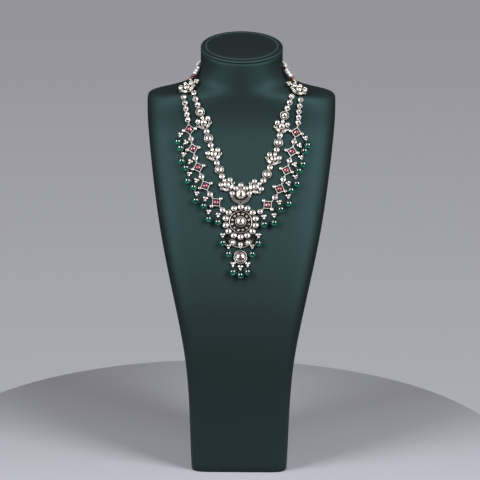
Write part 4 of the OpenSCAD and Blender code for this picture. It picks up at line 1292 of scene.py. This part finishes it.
class NECKLACE_OT_stage(bpy.types.Operator):
    """Add the camera, the softboxes, the floor and the surroundings."""
    bl_idname = "necklace.add_stage"
    bl_label = "Studio"

    def execute(self, context):
        studio, link = context.scene.necklace_studio, context.scene.collection.objects.link
        down, roll = studio.depression, studio.roll
        forward = Vector((0, math.cos(down), -math.sin(down)))
        up, right = Vector((0, math.sin(down), math.cos(down))), Vector((1, 0, 0))
        across = right * math.cos(roll) + up * math.sin(roll)
        upward = up * math.cos(roll) - right * math.sin(roll)
        camera = bpy.data.cameras.new("camera")
        camera.sensor_width = SENSOR_W
        camera.lens = studio.lens
        camera.shift_x = -1 / FRAME_PIXELS
        camera.clip_end = CLIP_END
        obj = bpy.data.objects.new("camera", camera)
        obj.matrix_world = axes_matrix(across, upward, -forward, AIM - forward * studio.distance)
        link(obj)
        context.scene.camera = obj
        context.scene.view_settings.view_transform = "Standard"

        for name, angle, share in SOFTBOXES:
            light = bpy.data.lights.new(name, "AREA")
            light.shape = "RECTANGLE"
            light.size, light.size_y = SOFTBOX_SIZE
            light.energy = studio.softbox * share
            lamp = bpy.data.objects.new(name, light)
            x, y = polar(SOFTBOX_REACH, math.radians(angle))
            lamp.location = (x, -y, SOFTBOX_HEIGHT)
            lamp.rotation_euler = (LAMP_AIM - lamp.location).to_track_quat("-Z", "Y").to_euler()
            link(lamp)

        part = turned(FLOOR_PROFILE, FLOOR_STEPS)
        part.transform(Matrix.Translation(FLOOR_AT))
        bmesh.ops.recalc_face_normals(part, faces=part.faces[:])
        mesh = bpy.data.meshes.new("floor")
        part.to_mesh(mesh)
        part.free()
        mesh.shade_smooth()
        mesh.set_sharp_from_angle(angle=FLOOR_SHARP)
        mesh.materials.append(finish_for("pale_floor"))
        floor = bpy.data.objects.new("floor", mesh)
        link(floor)

        self.add_surroundings(context)
        return {"FINISHED"}

    def add_surroundings(self, context):
        """A wall that only the camera sees, and a dim room under a bright ceiling that light the object."""
        studio, colours = context.scene.necklace_studio, context.scene.necklace_colours
        world = bpy.data.worlds.new("studio")
        world.use_nodes = True
        tree = Tree(world.node_tree)
        towards = tree.add("SeparateXYZ", Vector=tree.add("TexCoord").outputs["Generated"]).outputs
        height = tree.spread(towards["Z"], 0, 1, *WALL_FADE)
        grey = tree.mix_colour(height, colours.wall_low, colours.wall_high)
        wall = tree.feed(tree.nodes["Background"], Color=grey)
        depth = tree.spread(towards["Y"], studio.front, studio.back, *ROOM_FADE)
        height = tree.spread(towards["Z"], 0, 1, *CEILING_FADE)
        level = tree.add("Mix", Factor=height, A=depth, B=studio.ceiling)
        room = tree.add("Background", Strength=level.outputs["Result"])
        both = tree.add("MixShader", Fac=tree.add("LightPath").outputs["Is Camera Ray"])
        tree.links.new(room.outputs["Background"], both.inputs[1])
        tree.links.new(wall.outputs["Background"], both.inputs[2])
        tree.feed(tree.nodes["World Output"], Surface=both.outputs["Shader"])
        context.scene.world = world


# The cushion from its crown to its side. Columns: share of its radius, height above its flat top
CROWN_SHARES = (0.2, 0.4, 0.6, 0.75, 0.85)
WELT = ((0.868, 0.25), (0.882, 0.75), (0.898, 1.05), (0.914, 0.8), (0.928, 0.2), (0.95, 0.3))
# Painted highlight: where it lies on the welt and round the cushion's side, and over what bands
WELT_SHARE = 0.9
WELT_HIGHLIGHT_BAND = 0.02
SIDE_STEPS = 8
SIDE_HIGHLIGHT_Z = PAD_T * 0.72
SIDE_HIGHLIGHT_BAND = 0.9
SIDE_HIGHLIGHT = 0.6
SIDE_FROM = 1.005
PIPING_SUNK = 0.9
NECK_STEPS = 96
PIPING_SIDES = 10


class NECKLACE_OT_bust(bpy.types.Operator):
    """Add the leatherette bust with its padded top."""
    bl_idname = "necklace.add_bust"
    bl_label = "Neck bust"

    def execute(self, context):
        bm = bmesh.new()
        bm.from_mesh(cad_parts["bust_body"].data)
        bmesh.ops.remove_doubles(bm, verts=bm.verts[:], dist=1e-5)
        bmesh.ops.join_triangles(bm, faces=bm.faces[:], angle_face_threshold=0.6, angle_shape_threshold=3.2)
        crease = bm.edges.layers.float.new("crease_edge")
        for e in bm.edges:
            e[crease] = 1.0 if e.calc_face_angle(0) > SHARP else 0.0
        body = make_piece("bust_leatherette", bm, "leatherette", ["bust_body"], BUST_SMOOTH)
        smooth = body.modifiers.new("Smooth", "SUBSURF")
        smooth.levels = smooth.render_levels = 1

        tilt = Matrix.Translation((0, NECK_Y, NECK_TOP_Z)) @ Matrix.Rotation(TOP_TILT, 4, "X")
        self.add_cushion(tilt @ Matrix.Translation((0, 0, PIECE_GAP)))
        self.add_piping(tilt)
        return {"FINISHED"}

    def add_cushion(self, at):
        """The crowned disc with a raised welt near its edge, with a painted highlight along the welt and the
        rim.
        """
        flat_r, side_r = NECK_R - PAD_T / 2, PAD_T / 2
        rows = [(flat_r * t, PAD_T + PAD_CROWN * (1 - t * t)) for t in (0, *CROWN_SHARES)]
        rows += [(flat_r * t, PAD_T + rise) for t, rise in WELT]
        side = [polar(side_r, math.pi * t) for t in shares(SIDE_STEPS)]
        rows += [(flat_r + x, side_r + y) for x, y in side] + [(0, 0)]

        def painted_highlight(co):
            reach = math.hypot(co.x, co.y) / flat_r
            welt = max(1 - abs(reach - WELT_SHARE) / WELT_HIGHLIGHT_BAND, 0)
            side = max(1 - abs(co.z - SIDE_HIGHLIGHT_Z) / SIDE_HIGHLIGHT_BAND, 0) if reach > SIDE_FROM else 0
            return max(welt, SIDE_HIGHLIGHT * side)

        bm = bmesh.new()
        add(bm, turned(rows, NECK_STEPS))
        paint(bm, "painted_highlight", painted_highlight)
        pad = make_piece("bust_top_cushion", bm, "leatherette", ["bust_top_pad"], ROUND_SMOOTH, at=at)

    def add_piping(self, tilt):
        """The rolled edge of the neck, round the cushion's foot, with a painted highlight on its upper half.
        """
        piping = detail_sizes()["piping"]
        sunk = piping * PIPING_SUNK
        bm = bmesh.new()
        profile = [(NECK_R - sunk + x, z) for z, x in circle_outline(piping, PIPING_SIDES)]
        add(bm, turned(profile, NECK_STEPS, ring=True))
        # Painted highlight, paler towards the top of the rolled edge
        paint(bm, "painted_highlight", lambda co: min(max(co.z / piping, 0), SIDE_HIGHLIGHT))
        at = tilt @ Matrix.Translation((0, 0, -sunk))
        make_piece("bust_rolled_edge", bm, "leatherette", (), ROUND_SMOOTH, at=at)


class NECKLACE_OT_strands(bpy.types.Operator):
    """Add the end plates and the links of both strands."""
    bl_idname = "necklace.add_strands"
    bl_label = "Strands"

    def execute(self, context):
        flower, ring, square = flower_pattern(), ring_pattern(), square_pattern()
        inner_collet, outer_collet = collet_pattern(INNER_COLLET_D), collet_pattern(OUTER_COLLET_D)
        for k, side in enumerate(SIDES):
            for kind, pattern, kinds, seats in (("flower", flower, INNER_LINKS, INNER_SEATS[k]),
                                                ("ring_link", ring, INNER_LINKS, INNER_SEATS[k]),
                                                ("square_link", square, OUTER_LINKS, OUTER_SEATS[k])):
                for i, seat in enumerate(seats_of(kind.split("_")[0], kinds, seats)):
                    metal_piece(f"{kind}_{side}_{i + 1}", (pattern, link_matrix(seat)))
            for word, pattern, kinds, seats in (("inner", inner_collet, INNER_LINKS, INNER_SEATS[k]),
                                                ("outer", outer_collet, OUTER_LINKS, OUTER_SEATS[k])):
                jobs = [(pattern, link_matrix(seat)) for seat in seats_of("collet", kinds, seats)]
                metal_piece(f"{word}_collets_{side}", *jobs)
            self.add_plate(k, flower)
            self.add_rings(k)
        return {"FINISHED"}

    def add_plate(self, k, flower):
        """An end plate: a larger flower, a rosette on an arm towards the neck, and the string's bezel."""
        way = WAYS[k]
        bm = new_metal()
        for width, start, end, angle in (
                (BAR_W, PETAL_REACH, ROSETTE_REACH, ROSETTE_ANGLE),
                (LUG_W, FLOWER_CUP_D / 2, STRING_EYE_REACH, STRING_EYE_ANGLE)):
            arm = box(width, end - start, BACK_T)
            add(bm, arm, polar((end + start) / 2, -way * angle), way * angle, top=LOW_H)
        for p in rosette_places(way):
            add_bezel(bm, p, ROSETTE_CUP_D, LOW_H, steps=SMALL_STEPS)
        at = plate_matrix(k)
        larger = at @ Matrix.Scale(PLATE_SCALE, 4)
        metal_piece(f"end_plate_{SIDES[k]}", (flower, larger), (pattern_of(bm), at))

    def add_rings(self, k):
        """The jump rings between neighbouring links."""
        bm = new_metal()
        add(bm, wire_ring(detail_sizes()["jump"]), top=0.0)
        ring = pattern_of(bm)
        jobs = []
        for seats, lengths in ((INNER_SEATS[k], INNER_LENGTHS), (OUTER_SEATS[k], OUTER_LENGTHS)):
            for (a, toward), (b, _), la, lb in zip(seats, seats[1:], lengths, lengths[1:]):
                middle = a.lerp(b, la / (la + lb))
                point = front_point(middle[0], middle[2])
                jobs.append((ring, seat_matrix(point, -toward, LIFT + BACK_T / 2)))
        scatter(f"jump_rings_{SIDES[k]}", "oxidised_silver", jobs)


def on_centre(z):
    """Matrix of a piece on the centre line of the front, at a height."""
    return seat_matrix(front_point(0, z), UP)


class NECKLACE_OT_centre(bpy.types.Operator):
    """Add the centre piece, the medallion, the fan and the round drop."""
    bl_idname = "necklace.add_centre"
    bl_label = "Centre and pendant"

    def execute(self, context):
        for node, pattern, z in (("centre_piece", centre_pattern(), CENTRE_PIECE_Z),
                                 ("medallion", medallion_pattern(), MEDALLION_Z),
                                 ("fan_piece", fan_pattern(), FAN_Z),
                                 ("round_drop", round_drop_pattern(), ROUND_DROP_Z)):
            metal_piece(node, (pattern, on_centre(z)))
        return {"FINISHED"}


class NECKLACE_OT_stones(bpy.types.Operator):
    """Add the clear stones and the rubies."""
    bl_idname = "necklace.add_stones"
    bl_label = "Stones"

    def execute(self, context):
        flower, ruby = flower_stones_pattern(), ruby_pattern()
        ring, inner, outer, rosette, drop = [stones_pattern([(MIDDLE, *stone)]) for stone in (
            (RING_CUP_D, HIGH_H), (INNER_COLLET_D, LOW_H), (OUTER_COLLET_D, LOW_H),
            (ROSETTE_CUP_D, LOW_H, 6), (DROP_CUP_D, HIGH_H, 12, DROP_STONE_DIM))]
        corners = stones_pattern([(p, CORNER_CUP_D, LOW_H, 7) for p in CORNER_CUPS])
        pieces = []
        for k, side in enumerate(SIDES):
            end = plate_matrix(k)
            jobs = [(flower, end @ Matrix.Scale(PLATE_SCALE, 4))]
            jobs += [(rosette, end @ Matrix.Translation((*p, 0))) for p in rosette_places(WAYS[k])]
            for kind, pattern in (("flower", flower), ("ring", ring), ("collet", inner)):
                jobs += [(pattern, link_matrix(s)) for s in seats_of(kind, INNER_LINKS, INNER_SEATS[k])]
            pieces.append((f"inner_stones_{side}", "clear_stone", jobs))
            jobs = [(corners, link_matrix(s)) for s in SQUARE_SEATS[k]]
            jobs += [(outer, link_matrix(s)) for s in seats_of("collet", OUTER_LINKS, OUTER_SEATS[k])]
            pieces.append((f"outer_stones_{side}", "clear_stone", jobs))
            pieces.append((f"rubies_{side}", "ruby", [(ruby, link_matrix(s)) for s in SQUARE_SEATS[k]]))
        pieces += [
            ("centre_stones", "clear_stone", [(centre_stones_pattern(), on_centre(CENTRE_PIECE_Z))]),
            ("medallion_stones", "clear_stone", [(medallion_stones_pattern(), on_centre(MEDALLION_Z))]),
            ("pendant_stones", "clear_stone",
             [(fan_stones_pattern(), on_centre(FAN_Z)), (drop, on_centre(ROUND_DROP_Z))]),
        ]
        for name, slot, jobs in pieces:
            scatter(f"{name}_cut", slot, jobs, [name], STONE_SMOOTH)
        return {"FINISHED"}


class NECKLACE_OT_drops(bpy.types.Operator):
    """Add the trefoil caps and the emerald drops."""
    bl_idname = "necklace.add_drops"
    bl_label = "Emerald drops"

    def execute(self, context):
        cap, studs, emerald = cap_pattern(), cap_stones_pattern(), emerald_pattern()
        for side, drops in (*zip(SIDES, SIDE_DROPS), ("middle", MIDDLE_DROPS)):
            caps = [seat_matrix(point, -hang) for point, hang in drops]
            metal_piece(f"drop_caps_{side}", *[(cap, m) for m in caps])
            scatter(f"cap_stones_{side}", "clear_stone", [(studs, m) for m in caps], (), STONE_SMOOTH)
            jobs = []
            for point, hang in drops:
                x, _, z = point + hang * CAP_TO_DROP
                seat = seat_matrix(front_point(x, z), -hang, EMERALD_D / 2 + PIECE_GAP)
                jobs.append((emerald, seat))
            scatter(f"emeralds_{side}", "emerald_glass", jobs, [f"emerald_drops_{side}"], ROUND_SMOOTH)
        return {"FINISHED"}


PEARL_SQUASH = 0.96
GOLD_SQUASH = 0.9
THREAD_POINTS = 40
THREAD_SHARE = 0.8
THREAD_START = NAPE_FROM - 1
# Half of the clasp's barrel. Columns: share of its radius, distance from its end
CLASP_R = 0.4 * PEARL_D
CLASP_BRIGHT_Z = -1.2
CLASP_PROFILE = ((0, 0), (0.45, 0), (0.5, 0.4), (1, 1.2), (1, 1.8), (0.88, 2.1), (0.95, 2.6))


def bead_piece(name, slot, node, d, beads, squash=1.0):
    """One piece of beads of a diameter, with their centres and the directions of their holes."""
    bm = bmesh.new()
    for centre, along in beads:
        part = bmesh.new()
        turn = UP.rotation_difference(along).to_matrix().to_4x4()
        bmesh.ops.create_uvsphere(part, u_segments=PEARL_STEPS, v_segments=PEARL_RINGS, radius=d / 2)
        part.transform(Matrix.Translation(centre) @ turn @ Matrix.Diagonal((1, 1, squash, 1)))
        add(bm, part)
    make_piece(name, bm, slot, [node], ROUND_SMOOTH, at=Matrix())


class NECKLACE_OT_nape(bpy.types.Operator):
    """Add the nape string with its clasp."""
    bl_idname = "necklace.add_nape"
    bl_label = "Nape string"

    def execute(self, context):
        reds = []
        for k, side in enumerate(SIDES):
            rest = NAPE_RUNS[k][0][-1] - CLASP_L / 2 - PIECE_GAP - REST_FROM
            count = math.floor(rest / PEARL_D)
            pearls = []
            for run in (bead_centres(k, PEARLS_FROM, FRONT_PEARLS, PEARL_D),
                        bead_centres(k, REST_FROM, count, rest / count)):
                for before, c, after in zip(run[:1] + run, run, run[1:] + run[-1:]):
                    pearls.append((c, (after - before).normalized()))
            bead_piece(f"pearls_{side}", "pearl", f"nape_pearls_{side}", PEARL_D, pearls, PEARL_SQUASH)
            self.add_thread(k)
            # The gold bead takes the place of the right side's first red bead
            start, reds_here = ((NAPE_FROM, 2), (NAPE_FROM + ACCENT_D, 1))[k]
            reds += bead_centres(k, start, reds_here, ACCENT_D) + bead_centres(k, RED_FROM, 1, ACCENT_D)
        bead_piece("red_beads", "garnet_red", "nape_red_beads", ACCENT_D, [(c, UP) for c in reds])
        gold_d = ACCENT_D - PIECE_GAP
        gold = bead_centres(1, NAPE_FROM, 1, gold_d)[0]
        bead_piece("gold_bead", "gilt_brass", "nape_gold_bead", gold_d, [(gold, UP)], GOLD_SQUASH)
        self.add_clasp()
        return {"FINISHED"}

    def add_thread(self, k):
        """The silk through the beads, from the end plate to the clasp."""
        runs, places = NAPE_RUNS[k]
        curve = bpy.data.curves.new(f"thread_{SIDES[k]}", "CURVE")
        curve.dimensions = "3D"
        curve.bevel_depth = THREAD_D / 2 * THREAD_SHARE * MM
        curve.bevel_resolution = 2
        spline = curve.splines.new("POLY")
        spline.points.add(THREAD_POINTS - 1)
        for p, t in zip(spline.points, shares(THREAD_POINTS - 1)):
            run = mix(THREAD_START, runs[-1] - CLASP_L / 2, t)
            p.co = (*(nape_point(k, float(np.interp(run, runs, places))) * MM), 1)
        temp = bpy.data.objects.new("thread", curve)
        mesh = bpy.data.meshes.new_from_object(temp)
        bpy.data.objects.remove(temp)
        bm = bmesh.new()
        bm.from_mesh(mesh)
        bpy.data.meshes.remove(mesh)
        make_piece(f"thread_{SIDES[k]}", bm, "pearl", (), ROUND_SMOOTH, "silk")

    def add_clasp(self):
        bm = new_metal()
        profile = [(CLASP_R * t, end - CLASP_L / 2) for t, end in CLASP_PROFILE]
        profile += [(x, -y) for x, y in reversed(profile)]
        part = turned(profile, BEAD_STEPS)
        part.transform(Matrix.Rotation(math.pi / 2, 4, "Y"))
        add(bm, part, top=CLASP_BRIGHT_Z)
        at = Matrix.Translation(nape_point(1, NAPE_SPANS))
        make_piece("clasp_barrel", bm, "oxidised_silver", ["clasp"], at=at)


class NECKLACE_PT_panel(bpy.types.Panel):
    """Lists the operators and the sizes."""
    bl_label = "Kundan Necklace"
    bl_space_type = "VIEW_3D"
    bl_region_type = "UI"
    bl_category = "Necklace"

    def draw(self, context):
        scene = context.scene
        for operator in OPERATORS:
            self.layout.operator(operator.bl_idname)
        for group in (scene.necklace_sizes, scene.necklace_colours, scene.necklace_studio):
            rows = self.layout.box()
            for name in group.__annotations__:
                rows.prop(group, name)


OPERATORS = (NECKLACE_OT_stage, NECKLACE_OT_bust, NECKLACE_OT_strands, NECKLACE_OT_centre,
             NECKLACE_OT_stones, NECKLACE_OT_drops, NECKLACE_OT_nape)
GROUPS = {"necklace_sizes": NecklaceSizes, "necklace_colours": NecklaceColours,
          "necklace_studio": NecklaceStudio}


def register():
    for cls in (*GROUPS.values(), *OPERATORS, NECKLACE_PT_panel):
        bpy.utils.register_class(cls)
    for name, cls in GROUPS.items():
        setattr(bpy.types.Scene, name, bpy.props.PointerProperty(type=cls))


def unregister():
    for name in GROUPS:
        delattr(bpy.types.Scene, name)
    for cls in (NECKLACE_PT_panel, *reversed(OPERATORS), *reversed(tuple(GROUPS.values()))):
        bpy.utils.unregister_class(cls)


def main():
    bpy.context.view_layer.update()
    register()
    bpy.ops.necklace.add_stage()
    bpy.ops.necklace.add_bust()
    bpy.ops.necklace.add_strands()
    bpy.ops.necklace.add_centre()
    bpy.ops.necklace.add_stones()
    bpy.ops.necklace.add_drops()
    bpy.ops.necklace.add_nape()
    for pattern in [m for m in bpy.data.meshes if m.users == 0]:
        bpy.data.meshes.remove(pattern)


if __name__ == "__main__":
    main()
